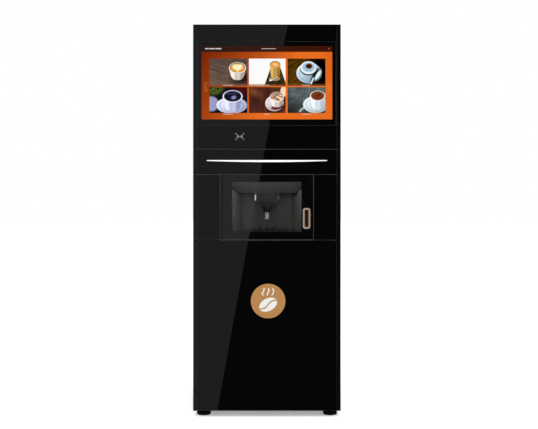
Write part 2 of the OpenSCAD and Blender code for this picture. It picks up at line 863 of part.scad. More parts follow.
module brew_unit() {
    outer = chamber_r + chamber_wall;
    half_w = outer + 14;
    color("#4a4d50") {
        difference() {
            union() {
                for (s = [-1, 1])
                    translate([bean_x + s * half_w, bean_y, 0])
                        block(-3, 3, -34, 34, brew_low_z, brew_low_z + brew_h);
                block(bean_x - half_w, bean_x + half_w, bean_y - 34, bean_y + 34, brew_low_z,
                    chamber_low_z + 4);
                block(bean_x - half_w, bean_x + half_w, bean_y - 34, bean_y + 34,
                    brew_low_z + brew_h - 14, brew_low_z + brew_h);
                translate([bean_x, bean_y, chamber_low_z]) cylinder(r = outer, h = chamber_h);
                block(bean_x - half_w, bean_x + half_w, bean_y + 34, works_y, brew_low_z, brew_low_z + 16);
                for (s = [-1, 1])
                    translate([bean_x + s * half_w, bean_y, 0])
                        block(-6, 6, -34, -26, deck_z, brew_low_z + 2);
            }
            translate([bean_x, bean_y, chamber_low_z + 6]) cylinder(r = chamber_r, h = chamber_h);
            translate([bean_x, bean_y, brew_low_z + brew_h - 15]) cylinder(r = 8 + fit, h = 20);
        }
    }
}

module brew_piston() {
    color("#c9b28a") translate([bean_x, bean_y, 0]) {
        translate([0, 0, piston_low_z]) cylinder(r = chamber_r - fit, h = piston_h);
        translate([0, 0, piston_low_z + piston_h - 1]) cylinder(r = 8,
            h = brew_low_z + brew_h + piston_travel - piston_low_z - piston_h + 1);
    }
}

// ---------- powder ----------

module canister(x) {
    z0 = shelf_z;
    difference() {
        union() {
            block(x - canister_w / 2, x + canister_w / 2, canister_front_y, canister_back_y, z0,
                z0 + canister_h);
            rod_y(x, nozzle_y, canister_front_y + 1, z0 + auger_z, nozzle_r + 2);
            translate([x, nozzle_y, z0 + auger_z - nozzle_r - 14]) cylinder(r = 12, h = nozzle_r + 14);
            block(x - 20, x + 20, canister_back_y, works_y, z0, z0 + 40);
        }
        intersection() {
            block(x - canister_w / 2 + canister_wall, x + canister_w / 2 - canister_wall,
                canister_front_y + canister_wall, canister_back_y - canister_wall,
                z0 + auger_z - nozzle_r, z0 + canister_h + 1);
            // sides of the bottom lean in towards the auger
            translate([x, 0, z0]) along_y(canister_front_y, canister_back_y) polygon([[-nozzle_r, 0],
                [nozzle_r, 0], [nozzle_r, auger_z], [canister_w, auger_z + canister_w], [canister_w,
                    canister_h + 2],
                [-canister_w, canister_h + 2], [-canister_w, auger_z + canister_w], [-nozzle_r, auger_z]]);
        }
        rod_y(x, nozzle_y, canister_front_y + 10, z0 + auger_z, nozzle_r - 1);
        translate([x, nozzle_y, z0 + auger_z - nozzle_r - 15]) cylinder(r = 9.5, h = nozzle_r + 16);
        rod_y(x, canister_back_y - 5, works_y - 2, z0 + auger_z, 4 + fit);
    }
}

module milk_canister() { color("#e4e6e7", 0.7) canister(milk_x); }
module cocoa_canister() { color("#e4e6e7", 0.7) canister(cocoa_x); }

module canister_lid(x) {
    flat_lid(x, canister_w, canister_front_y, canister_back_y, shelf_z + canister_h);
}

module milk_lid() { color("#2f6fa8") canister_lid(milk_x); }
module cocoa_lid() { color("#6a3d22") canister_lid(cocoa_x); }

// Shaft with tilted discs that push the powder forwards
module auger(x) {
    pitch = 16;
    y0 = nozzle_y + 12;
    count = floor((canister_back_y - 16 - y0) / pitch);
    translate([x, 0, shelf_z + auger_z]) {
        rod_y(0, y0, works_y - 4, 0, 4);
        for (i = [0:count - 1])
            translate([0, y0 + 8 + i * pitch, 0]) rotate([-90 + 18, 0, 0])
                translate([0, 0, -1]) cylinder(r = auger_r - 1, h = 2);
    }
}

module milk_auger() { color("#d9dbdc") auger(milk_x); }
module cocoa_auger() { color("#d9dbdc") auger(cocoa_x); }

// Funnel bowl over a small whipping chamber, closed behind by the motor housing
module mixing_bowl(x) {
    z0 = bowl_shelf_z;
    difference() {
        union() {
            translate([x, nozzle_y, z0]) cylinder(r = 22, h = 26);
            translate([x, nozzle_y, z0 + 24]) cylinder(r1 = 18, r2 = bowl_r, h = bowl_h - 46);
            translate([x, nozzle_y, z0 + bowl_h - 22]) cylinder(r = bowl_r, h = 18);
            block(x - 24, x + 24, nozzle_y + 20, nozzle_y + 90, z0, z0 + 46);
            translate([x, nozzle_y - 16, z0 - 16]) cylinder(r = 7, h = 22);
        }
        translate([x, nozzle_y, z0 + 2]) cylinder(r = 19, h = 23);
        translate([x, nozzle_y, z0 + 23.9]) cylinder(r1 = 15.5, r2 = bowl_r - 2.5, h = bowl_h - 45.8);
        translate([x, nozzle_y, z0 + bowl_h - 22.1]) cylinder(r = bowl_r - 2.5, h = 30);
        translate([x, nozzle_y - 16, z0 - 17]) cylinder(r = 4.5, h = 22);
        rod_y(x, nozzle_y + 17, nozzle_y + 70, z0 + 13, 3 + fit);
    }
}

module milk_bowl() { color("#e8e9ea") mixing_bowl(milk_x); }
module cocoa_bowl() { color("#e8e9ea") mixing_bowl(cocoa_x); }

// Whipping disc with blades, turning on a shaft along Y
module whipper(x) {
    translate([x, nozzle_y, bowl_shelf_z + 13]) {
        rod_y(0, -2, 66, 0, 3);
        rod_y(0, 8, 11, 0, 8.5);
        for (a = [0:60:300]) rotate([0, a, 0]) translate([-1, 0, 3]) cube([2, 9, 5]);
    }
}

module milk_whipper() { color("#2f6fa8") whipper(milk_x); }
module cocoa_whipper() { color("#2f6fa8") whipper(cocoa_x); }

// ---------- water, power, waste ----------

boiler_y = works_y + plate_t + 10 + boiler_r;

module boiler() {
    color("#b9bcbe") {
        difference() {
            translate([boiler_x, boiler_y, deck_z + 40]) cylinder(r = boiler_r, h = boiler_h);
            translate([boiler_x, boiler_y, deck_z + 43]) cylinder(r = boiler_r - 3, h = boiler_h - 6);
        }
        for (a = [30, 150, 270]) translate([boiler_x, boiler_y, deck_z]) rotate(a)
            translate([boiler_r - 10, 0, 0]) cylinder(r = 6, h = 40.5);
        translate([boiler_x, boiler_y, deck_z + 39 + boiler_h]) cylinder(r = 14, h = 17);
        block(boiler_x - 25, boiler_x + 25, works_y + plate_t, boiler_y - boiler_r + 12,
            deck_z + 120, deck_z + 150);
    }
}

pump_x = 30;
pump_y = works_y + 90;

module water_pump() {
    color("#7d8184") {
        block(pump_x - 38, pump_x + 38, pump_y - 30, pump_y + 30, deck_z, deck_z + 12);
        rod_y(pump_x, pump_y - 50, pump_y + 50, deck_z + 42, 31);
        for (s = [-1, 1]) rod_y(pump_x, pump_y + s * 60 - 12, pump_y + s * 60 + 12, deck_z + 42, 8);
    }
}

// Straight run of pipe between two points
module pipe_run(p, q, r) {
    v = q - p;
    len = norm(v);
    translate(p) rotate([0, acos(v[2] / len), atan2(v[1], v[0])]) cylinder(r = r, h = len);
}

// Pipe through a list of points, with a ball fitting at each bend
module pipe(points, r) {
    for (i = [0:len(points) - 2]) pipe_run(points[i], points[i + 1], r);
    for (i = [1:len(points) - 2]) translate(points[i]) sphere(r = r + 1.5);
}

module water_pipes() {
    r = 4;
    boiler_top_z = deck_z + 56 + boiler_h;
    color("#b5643a") {
        // pump to boiler
        pipe([[pump_x, pump_y + 72, deck_z + 42], [pump_x, pump_y + 100, deck_z + 42],
            [boiler_x + boiler_r + 20, pump_y + 100, deck_z + 42],
            [boiler_x + boiler_r + 20, boiler_y, deck_z + 80],
            [boiler_x + boiler_r, boiler_y, deck_z + 80]], r);
        // boiler towards the brew unit, over the works plate's rear side
        pipe([[boiler_x, boiler_y, boiler_top_z], [boiler_x, boiler_y, boiler_top_z + 40],
            [bean_x, boiler_y, boiler_top_z + 40], [bean_x, works_y + plate_t, boiler_top_z + 40]], r);
    }
}

module control_box() {
    color("#c7cacc") difference() {
        block(20, inner_edge - 20, works_y + plate_t, works_y + plate_t + 55, deck_z + 440, deck_z + 720);
        for (i = [0:7]) block(50, 150, works_y + 50, works_y + 70, deck_z + 470 + i * 14,
            deck_z + 475 + i * 14);
    }
}

module fan_rotor() {
    y1 = rear_face - sheet - 6;
    color("#202224") difference() {
        union() {
            rod_y(fan_x, y1 - 18, y1, fan_z, 20);
            for (a = [0:360 / 7:359]) translate([fan_x, y1 - 9, fan_z]) rotate([0, a, 0])
                translate([34, 0, 0]) rotate([32, 0, 0]) cube([34, 2, 20], center = true);
        }
        rod_y(fan_x, y1 - 17, y1 + 1, fan_z, 3 + fit);
    }
}

switch_y = rear_face - 6;
switch_z = inlet_z + 22;
switch_pin_r = 1.2;

module power_inlet() {
    y0 = rear_face - 30;
    color("#17181a") difference() {
        block(inlet_x - 25, inlet_x + 25, y0, rear_face + 1, inlet_z - 38, inlet_z + 38);
        along_y(rear_face - 16, rear_face + 2) translate([inlet_x, inlet_z - 14]) difference() {
            round_rect(28, 22, 3);
            for (x = [-7, 0, 7]) translate([x, x == 0 ? 3 : -2]) square([2, 6], center = true);
        }
        block(inlet_x - 14, inlet_x + 14, rear_face - 14, rear_face + 2, switch_z - 9, switch_z + 9);
        rod_x(inlet_x - 17, inlet_x + 17, switch_y, switch_z, switch_pin_r + fit);
    }
}

// Rocker: a round key with a shallow V across its face, on two pivot pins
module power_switch() {
    key_r = 7.4;
    key_half_w = 12;
    color("#7c1c18") {
        intersection() {
            rod_x(inlet_x - key_half_w, inlet_x + key_half_w, switch_y, switch_z, key_r);
            along_x(inlet_x - key_half_w, inlet_x + key_half_w) translate([switch_y, switch_z])
                polygon([[-6, -5], [-6, 5], [7, 7], [5, 0], [7, -7]]);
        }
        for (s = [-1, 1]) translate([inlet_x + s * (key_half_w + 2), 0, 0])
            rod_x(-2.1, 2.1, switch_y, switch_z, switch_pin_r);
    }
}

// Places in the lower bay, from left to right
bay_front_y = body_front + sheet + 30;
bay_back_y = works_y + 160;
bay_play = 4;
tank_x0 = -inner_edge + 6;
tank_x1 = tank_x0 + tank_w;
bucket_x0 = tank_x1 + 2 * bay_play + 4;
bucket_x1 = bucket_x0 + 120;
bin_x0 = bucket_x1 + 2 * bay_play + 4;
bin_x1 = inner_edge - 6;
bay_rails = [tank_x1 + bay_play + 2, bucket_x1 + bay_play + 2];

module water_tank() {
    z0 = bay_floor_z;
    wall = 3;
    y1 = bay_back_y - 60;
    color("#dfe8ee", 0.6) difference() {
        union() {
            block(tank_x0, tank_x1, bay_front_y, y1, z0, z0 + tank_h);
            translate([(tank_x0 + tank_x1) / 2, bay_front_y + 70, z0 + tank_h - 1]) cylinder(r = 34,
                h = 23);
        }
        block(tank_x0 + wall, tank_x1 - wall, bay_front_y + wall, y1 - wall, z0 + wall, z0 + tank_h - wall);
        translate([(tank_x0 + tank_x1) / 2, bay_front_y + 70, z0 + tank_h - 10]) cylinder(r = 30, h = 40);
    }
}

module waste_bucket() {
    color("#3f4346") {
        bin(bucket_x0, bucket_x1, bay_front_y, bay_back_y - 60, bay_floor_z, bay_floor_z + 330, 3);
        block(bucket_x0 + 30, bucket_x1 - 30, bay_front_y - 14, bay_front_y, bay_floor_z + 300,
            bay_floor_z + 304);
    }
}

module grounds_bin() {
    color("#2a2c2e") {
        bin(bin_x0, bin_x1, bay_front_y, bay_back_y - 60, bay_floor_z, bay_floor_z + 400, 3);
        block(bin_x0 + 50, bin_x1 - 50, bay_front_y - 14, bay_front_y, bay_floor_z + 370,
            bay_floor_z + 374);
    }
}

// ---------- feet ----------

stud_r = 5;

// Levelling foot: rubber pad, hexagon and stud
module foot(i) {
    color("#0c0d0e") translate([foot_spots[i][0], foot_spots[i][1], 0]) {
        cylinder(r = foot_r, h = foot_h - 13);
        translate([0, 0, foot_h - 13]) cylinder(r1 = foot_r, r2 = 12, h = 6);
        translate([0, 0, foot_h - 8]) cylinder(r = 9, h = 7.5, $fn = 6);
        cylinder(r = stud_r, h = foot_h + 24);
    }
}

module foot_front_left() { foot(0); }
module foot_rear_left() { foot(1); }
module foot_front_right() { foot(2); }
module foot_rear_right() { foot(3); }

// ---------- build ----------

base_tray();
side_panel_left();
side_panel_right();
rear_panel();
top_cover();
chassis_frame();
niche_liner();
niche_lamps();
outlet_head();
drink_spouts();
drip_tray();
drip_grid();
upper_door_frame();
header_glass();
touch_glass();
display_panel();
payment_reader();
bar_fascia();
trim_bar();
left_fascia();
right_fascia();
serving_door_frame();
serving_door_glass();
serving_door_pull();
lower_door_frame();
lower_door_glass();
door_badge();
upper_lock();
lower_lock();
bean_hopper();
hopper_lid();
grinder();
grinder_burr();
brew_unit();
brew_piston();
milk_canister();
cocoa_canister();
milk_lid();
cocoa_lid();
milk_auger();
cocoa_auger();
milk_bowl();
cocoa_bowl();
milk_whipper();
cocoa_whipper();
boiler();
water_pump();
water_pipes();
control_box();
fan_rotor();
power_inlet();
power_switch();
rear_screws();
water_tank();
waste_bucket();
grounds_bin();
foot_front_left();
foot_front_right();
foot_rear_left();
foot_rear_right();
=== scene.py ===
"""Looks of a free-standing hot coffee vending machine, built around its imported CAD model."""

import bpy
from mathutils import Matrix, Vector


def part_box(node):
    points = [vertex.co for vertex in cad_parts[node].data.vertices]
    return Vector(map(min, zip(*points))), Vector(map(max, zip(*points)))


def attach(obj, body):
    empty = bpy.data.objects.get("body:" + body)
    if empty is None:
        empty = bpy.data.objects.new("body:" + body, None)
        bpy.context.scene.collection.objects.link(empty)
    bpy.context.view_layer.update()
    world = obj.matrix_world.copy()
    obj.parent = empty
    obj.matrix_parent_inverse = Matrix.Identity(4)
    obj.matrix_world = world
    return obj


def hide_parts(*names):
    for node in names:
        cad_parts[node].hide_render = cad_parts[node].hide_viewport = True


bl_info = {
    "name": "Coffee vending machine looks",
    "version": (1, 0, 0),
    "blender": (4, 5, 0),
    "location": "3D View > Sidebar > Coffee",
    "description": "Glass, screen picture, trim, feet and finishes of a coffee vending machine",
    "category": "Add Mesh",
}

import math

import bmesh
import bpy
import numpy as np
from bpy.props import FloatProperty, FloatVectorProperty, PointerProperty
from mathutils import Vector

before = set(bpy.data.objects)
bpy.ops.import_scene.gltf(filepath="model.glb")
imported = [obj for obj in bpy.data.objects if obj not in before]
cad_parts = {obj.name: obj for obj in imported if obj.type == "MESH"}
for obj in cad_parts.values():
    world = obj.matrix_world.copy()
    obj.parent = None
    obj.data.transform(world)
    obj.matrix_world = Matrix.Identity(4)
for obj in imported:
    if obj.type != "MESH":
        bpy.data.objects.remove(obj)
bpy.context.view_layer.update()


# ---------- sizes and colours a user may change ----------


class ScreenSettings(bpy.types.PropertyGroup):
    """Picture on the touch screen"""

    picture_w: FloatProperty(
        name="Picture width", description="Width of the lit area",
        default=0.5916, min=0.5, max=0.6, unit="LENGTH")
    picture_h: FloatProperty(
        name="Picture height", description="Height of the lit area",
        default=0.3316, min=0.28, max=0.338, unit="LENGTH")
    picture_rise: FloatProperty(
        name="Picture rise", description="Height of the picture's middle over the panel's",
        default=0.0039, min=-0.01, max=0.01, unit="LENGTH")
    brightness: FloatProperty(
        name="Brightness", description="How strongly the picture shines",
        default=1.0, min=0.1, max=4.0)
    header_share: FloatProperty(
        name="Header height", description="Share of the height under the header strip",
        default=0.079, min=0.04, max=0.2, subtype="FACTOR")
    # painted shade: the field's darker upper left stands for the glass's dark reflection over the
    # screen
    field_dark: FloatVectorProperty(
        name="Dark field", description="Colour of the field at its upper left",
        default=(0.46, 0.135, 0.01), size=3, subtype="COLOR", min=0.0, max=1.0)
    field_bright: FloatVectorProperty(
        name="Bright field", description="Colour of the field at its lower right",
        default=(0.92, 0.435, 0.135), size=3, subtype="COLOR", min=0.0, max=1.0)


class FinishSettings(bpy.types.PropertyGroup):
    """Colours of the machine's finishes"""

    paint: FloatVectorProperty(
        name="Powder coat", description="Colour of the cabinet and the door frames",
        default=(0.0095, 0.0098, 0.0102), size=3, subtype="COLOR", min=0.0, max=1.0)
    liner: FloatVectorProperty(
        name="Niche liner", description="Colour of the serving niche",
        default=(0.074, 0.073, 0.072), size=3, subtype="COLOR", min=0.0, max=1.0)
    copper: FloatVectorProperty(
        name="Copper", description="Colour of the pull and the badge",
        default=(0.40, 0.285, 0.21), size=3, subtype="COLOR", min=0.0, max=1.0)
    bronze: FloatVectorProperty(
        name="Badge bronze", description="Colour of the badge's brushed disc",
        default=(0.46, 0.225, 0.066), size=3, subtype="COLOR", min=0.0, max=1.0)
    lamp_strength: FloatProperty(
        name="Niche lamps", description="Strength of the two lamps in the niche",
        default=0.03, min=0.0, max=20.0)


class TrimSettings(bpy.types.PropertyGroup):
    """Bar, beads, pull and badge"""

    bead_r: FloatProperty(
        name="Bead radius", description="Radius of the thin beads in the seams",
        default=0.0009, min=0.0004, max=0.0012, unit="LENGTH")
    bar_end_h: FloatProperty(
        name="Bar end height", description="Height of the trim bar at its ends",
        default=0.0042, min=0.003, max=0.009, unit="LENGTH")
    pull_rim: FloatProperty(
        name="Pull rim", description="Width of the pull's rim",
        default=0.0083, min=0.005, max=0.012, unit="LENGTH")
    emblem_rise: FloatProperty(
        name="Emblem relief", description="How far the badge's emblem stands out",
        default=0.0005, min=0.0, max=0.001, unit="LENGTH")


class StudioSettings(bpy.types.PropertyGroup):
    """Camera, floor and lights"""

    camera_distance: FloatProperty(
        name="Camera distance", description="Distance of the camera from the glass front",
        default=4.5, min=2.0, max=12.0, unit="LENGTH")
    camera_height: FloatProperty(
        name="Camera height", description="Height of the camera over the floor",
        default=1.15, min=0.2, max=2.5, unit="LENGTH")
    lens: FloatProperty(
        name="Lens", description="Focal length on a 36 mm sensor",
        default=66.65, min=20.0, max=200.0)
    shift: FloatProperty(
        name="Shift", description="Vertical shift of the lens",
        default=-0.0967, min=-0.2, max=0.2)
    floor_size: FloatProperty(
        name="Floor size", description="Side of the square floor",
        default=30.0, min=6.0, max=60.0, unit="LENGTH")
    floor_glow: FloatProperty(
        name="Floor glow", description="Light the floor gives by itself, which keeps it white",
        default=0.36, min=0.0, max=1.0)
    card_glow: FloatProperty(
        name="Card glow", description="Radiance of the slanted card the glass mirrors",
        default=0.27, min=0.0, max=4.0)
    niche_glow: FloatProperty(
        name="Niche glow", description="Radiance of the soft light under the niche's hood",
        default=2.0, min=0.0, max=10.0)
    ambient: FloatProperty(
        name="Ambient", description="Strength of the even light from all round",
        default=1.05, min=0.0, max=4.0)


# ---------- mesh helpers ----------


def grid_faces(rows, columns, close_rows=False, close_columns=False):
    """Corner numbers of the quads between the points of a rows by columns grid."""
    last_row = rows if close_rows else rows - 1
    last_column = columns if close_columns else columns - 1
    i, j = np.meshgrid(np.arange(last_row), np.arange(last_column), indexing="ij")
    i_next = (i + 1) % rows
    j_next = (j + 1) % columns
    corners = [i * columns + j, i_next * columns + j, i_next * columns + j_next, i * columns + j_next]
    return np.stack(corners, axis=-1).reshape(-1, 4)


def full_turn(count):
    """Even angles round a full turn."""
    return np.linspace(0, 2 * np.pi, count, endpoint=False)


def middle_of(name):
    """Low corner, high corner and middle of a CAD node's box."""
    low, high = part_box(name)
    return low, high, [(a + b) / 2 for a, b in zip(low, high)]


def make_piece(name, points, faces, body, slot, material=None, replaces=(), sharp=35.0, mend=True):
    """Mesh object from points and faces, riding on a body, in its slot's finish unless told otherwise.

    Doubles are merged, so poles and seams close, and the faces are then turned outwards."""
    mesh = bpy.data.meshes.new(name)
    mesh.from_pydata(np.asarray(points).reshape(-1, 3).tolist(), [], [list(f) for f in faces])
    if mend:
        work = bmesh.new()
        work.from_mesh(mesh)
        bmesh.ops.remove_doubles(work, verts=work.verts, dist=1e-6)
        bmesh.ops.recalc_face_normals(work, faces=work.faces)
        work.to_mesh(mesh)
        work.free()
    mesh.polygons.foreach_set("use_smooth", np.ones(len(mesh.polygons), dtype=bool))
    mesh.set_sharp_from_angle(angle=math.radians(sharp))
    mesh.materials.append(material or finish(slot))
    piece = bpy.data.objects.new(name, mesh)
    bpy.context.scene.collection.objects.link(piece)
    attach(piece, body)
    if replaces:
        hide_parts(*replaces)
    return piece


def joined(parts):
    """One list of points and one of faces from several (points, faces) pairs."""
    points = []
    faces = []
    count = 0
    for part_points, part_faces in parts:
        flat = np.asarray(part_points).reshape(-1, 3)
        points.append(flat)
        faces += [[int(c) + count for c in face] for face in part_faces]
        count += len(flat)
    return np.concatenate(points), faces


def lathe(profile, centre, turns=48, facets=None):
    """Profile of (radius, height) points turned round the upright axis through centre.

    x = cx + r cos a, y = cy + r sin a, z = cz + h. With facets, r is divided by the cosine
    of the angle from the nearest flat's middle, which makes a prism of that many sides."""
    profile = np.asarray(profile)
    angle = full_turn(turns)
    stretch = np.ones_like(angle)
    if facets:
        step = 2 * np.pi / facets
        stretch = 1 / np.cos((angle % step) - step / 2)
    radius = profile[:, 0][:, None] * stretch
    points = np.stack([
        centre[0] + radius * np.cos(angle),
        centre[1] + radius * np.sin(angle),
        centre[2] + profile[:, 1][:, None] + 0 * angle,
    ], axis=-1)
    return points, grid_faces(len(profile), turns, close_columns=True)


def on_front(path, y, centre=(0.0, 0.0)):
    """Path of (x, z) points about a centre, stood up at one y."""
    return np.stack([centre[0] + path[:, 0], np.full(len(path), y), centre[1] + path[:, 1]], axis=-1)


def round_rect(w, h, r, steps=10):
    """Points and outward directions round a rectangle with round corners, about (0, 0).

    Each corner is a quarter circle of radius r about (+-(w/2 - r), +-(h/2 - r))."""
    turn = np.linspace(0, np.pi / 2, steps)
    angle = np.concatenate([turn + k * np.pi / 2 for k in range(4)])
    sign_x = np.repeat([1, -1, -1, 1], steps)
    sign_z = np.repeat([1, 1, -1, -1], steps)
    out = np.stack([np.cos(angle), np.sin(angle)], axis=-1)
    middle = np.stack([sign_x * (w / 2 - r), sign_z * (h / 2 - r)], axis=-1)
    return middle + out * r, out


def ring_on_front(path, out, profile, centre):
    """Closed profile of (outward, y) points carried round a closed path in X and Z."""
    profile = np.asarray(profile)
    flat = path[:, None, :] + out[:, None, :] * profile[None, :, 0:1]
    y = np.broadcast_to(profile[None, :, 1], flat.shape[:2])
    points = np.stack([centre[0] + flat[..., 0], y, centre[1] + flat[..., 1]], axis=-1)
    return points, grid_faces(len(path), len(profile), True, True)


def bead(start, end, radius, sides=10):
    """Thin round bead from start to end with closed, domed ends.

    The radius follows radius * sqrt(1 - t^2) over the last radius of length at each end."""
    start = np.asarray(start, float)
    end = np.asarray(end, float)
    length = np.linalg.norm(end - start)
    along = (end - start) / length
    helper = np.array([0.0, 1.0, 0.0])
    side = np.cross(along, helper)
    side /= np.linalg.norm(side)
    up = np.cross(along, side)
    dome = np.linspace(0, np.pi / 2, 4)
    place = np.concatenate([radius * (1 - np.cos(dome)), length - radius * (1 - np.cos(dome[::-1]))])
    size = np.concatenate([radius * np.sin(dome), radius * np.sin(dome[::-1])])
    angle = full_turn(sides)
    circle = side * np.cos(angle)[:, None] + up * np.sin(angle)[:, None]
    points = start + along * place[:, None, None] + circle[None] * size[:, None, None]
    return points, grid_faces(len(place), sides, close_columns=True)


def flat_slab(x0, x1, z0, z1, y_front, depth, columns, rows):
    """Even grid over a rectangle facing the front, with its rim carried back and closed.

    Returns points, faces, and the two grid parameters of every point, each from 0 to 1."""
    u, v = np.meshgrid(np.linspace(0, 1, columns), np.linspace(0, 1, rows))
    front = np.stack([x0 + u * (x1 - x0), np.full_like(u, y_front), z0 + v * (z1 - z0)], axis=-1)
    index = np.arange(rows * columns).reshape(rows, columns)
    rim = np.concatenate([index[0, :-1], index[:-1, -1], index[-1, :0:-1], index[:0:-1, 0]])
    flat = front.reshape(-1, 3)
    back = flat[rim] + np.array([0, depth, 0])
    back_index = len(flat) + np.arange(len(rim))
    skirt = np.stack([rim, back_index, np.roll(back_index, -1), np.roll(rim, -1)], axis=-1)
    faces = grid_faces(rows, columns).tolist() + skirt.tolist() + [back_index.tolist()]
    share_u = np.concatenate([u.ravel(), u.ravel()[rim]])
    share_v = np.concatenate([v.ravel(), v.ravel()[rim]])
    return np.concatenate([flat, back]), faces, share_u, share_v


def ribbon(path, width, y_front, depth, closed=False):
    """Flat strip of one width along a path of (x, z) points, as a thin closed solid.

    Each side lies half the width from the path, square to its local direction."""
    path = np.asarray(path, float)
    if closed:
        direction = np.roll(path, -1, axis=0) - np.roll(path, 1, axis=0)
    else:
        direction = np.gradient(path, axis=0)
    direction /= np.linalg.norm(direction, axis=1)[:, None]
    side = np.stack([-direction[:, 1], direction[:, 0]], axis=-1) * width / 2
    left = path + side
    right = path - side
    corners = [(left, y_front), (right, y_front), (right, y_front + depth), (left, y_front + depth)]
    points = np.stack([on_front(p, y) for p, y in corners], axis=1)
    faces = grid_faces(len(path), 4, closed, True).tolist()
    if not closed:
        last = 4 * (len(path) - 1)
        faces += [[0, 1, 2, 3], [last + 3, last + 2, last + 1, last]]
    return points, faces


def paint_points(piece, name, colours):
    """Colour attribute on the points, stored as linear light."""
    values = np.ones((len(colours), 4), dtype=np.float32)
    colours = np.clip(colours, 0, 1)
    values[:, :3] = np.where(colours <= 0.04045, colours / 12.92, ((colours + 0.055) / 1.055) ** 2.4)
    attribute = piece.data.color_attributes.new(name, "FLOAT_COLOR", "POINT")
    attribute.data.foreach_set("color", values.ravel())


# ---------- material helpers ----------


def new_material(name):
    """Empty node material with its output node."""
    material = bpy.data.materials.new(name)
    material.use_nodes = True
    tree = material.node_tree
    tree.nodes.clear()
    output = tree.nodes.new("ShaderNodeOutputMaterial")
    return material, tree, output


def add_node(tree, kind, **values):
    """New shader node; each value goes to the socket of its name, with spaces for underscores."""
    node = tree.nodes.new("ShaderNode" + kind)
    for name, value in values.items():
        node.inputs[name.replace("_", " ")].default_value = value
    return node


def grain(tree, scale, stretch=(1, 1, 1), detail=4.0):
    """Noise on the piece's own coordinates, from 0 to 1."""
    place = add_node(tree, "TexCoord")
    turn = add_node(tree, "Mapping", Scale=stretch)
    noise = add_node(tree, "TexNoise", Scale=scale, Detail=detail)
    tree.links.new(place.outputs["Object"], turn.inputs["Vector"])
    tree.links.new(turn.outputs["Vector"], noise.inputs["Vector"])
    return noise.outputs["Fac"]


def spread(tree, value, low, high):
    """The middle of a noise carried to the range from low to high."""
    span = add_node(tree, "MapRange", From_Min=0.3, From_Max=0.7, To_Min=low, To_Max=high)
    tree.links.new(value, span.inputs["Value"])
    return span.outputs["Result"]


def two_colours(tree, value, first, second):
    """Colour between first and second by a value; each is a plain colour or an output socket."""
    mix = tree.nodes.new("ShaderNodeMix")
    mix.data_type = "RGBA"
    tree.links.new(value, mix.inputs["Factor"])
    for socket, colour in (("A", first), ("B", second)):
        if isinstance(colour, bpy.types.NodeSocket):
            tree.links.new(colour, mix.inputs[socket])
        else:
            mix.inputs[socket].default_value = (*colour, 1)
    return mix.outputs["Result"]


def two_shaders(tree, value, first, second):
    """Shader between first and second by the value of an output socket."""
    mix = tree.nodes.new("ShaderNodeMixShader")
    tree.links.new(value, mix.inputs["Fac"])
    tree.links.new(first, mix.inputs[1])
    tree.links.new(second, mix.inputs[2])
    return mix.outputs[0]


def relief(tree, value, height):
    """Normal of a surface raised by value times height, in metres."""
    bump = add_node(tree, "Bump", Distance=height, Strength=1.0)
    tree.links.new(value, bump.inputs["Height"])
    return bump.outputs["Normal"]


def shade(colour, share):
    """Colour times a share, kept in range."""
    return tuple(min(1.0, c * share) for c in colour)


def solid_finish(name, colour, rough, grain_scale, stretch=(1, 1, 1), height=0.0,
                 metal=0.0, contrast=0.15, specular=0.5):
    """Opaque finish: cloudy colour, and fine grain in roughness and relief."""
    material, tree, output = new_material(name)
    shader = add_node(tree, "BsdfPrincipled", Metallic=metal, Specular_IOR_Level=specular)
    cloud = spread(tree, grain(tree, 9.0), 0, 1)
    fine = grain(tree, grain_scale, stretch)
    tint = two_colours(tree, cloud, shade(colour, 1 - contrast), shade(colour, 1 + contrast))
    tree.links.new(tint, shader.inputs["Base Color"])
    tree.links.new(spread(tree, fine, rough[0], rough[1]), shader.inputs["Roughness"])
    if height:
        tree.links.new(relief(tree, fine, height), shader.inputs["Normal"])
    tree.links.new(shader.outputs[0], output.inputs["Surface"])
    return material


def powder_coat(name, colour):
    """Fine-textured powder paint on sheet steel."""
    return solid_finish(name, colour, (0.36, 0.55), 1400, height=0.00008, contrast=0.2)


def brushed_metal(name, colour, direction, rough=(0.22, 0.36), metal=0.75):
    """Metal with straight brush lines along one axis; less metal gives a duller, paler face."""
    stretch = tuple(0.02 if axis == direction else 1.0 for axis in "XYZ")
    return solid_finish(name, colour, rough, 900, stretch, height=0.00001, metal=metal, contrast=0.06)


def polished_metal(name, colour, rough=(0.05, 0.12)):
    """Bright metal with faint wiping marks."""
    return solid_finish(name, colour, rough, 160, (1, 1, 0.25), height=0.000004, metal=1.0,
                        contrast=0.04)


def moulded_plastic(name, colour, rough=(0.3, 0.45)):
    """Moulded plastic with a light spark-eroded texture."""
    return solid_finish(name, colour, rough, 1100, height=0.00003, contrast=0.08)


def rubber(name, colour):
    """Matt rubber with dust in its pores."""
    return solid_finish(name, colour, (0.65, 0.85), 700, height=0.00008, contrast=0.2, specular=0.3)


def gloss_black(name, colour=(0.0006, 0.0007, 0.0008)):
    """Back-painted glass: deep black with a clean gloss and a breath of haze."""
    return solid_finish(name, colour, (0.006, 0.016), 14, contrast=0.1)


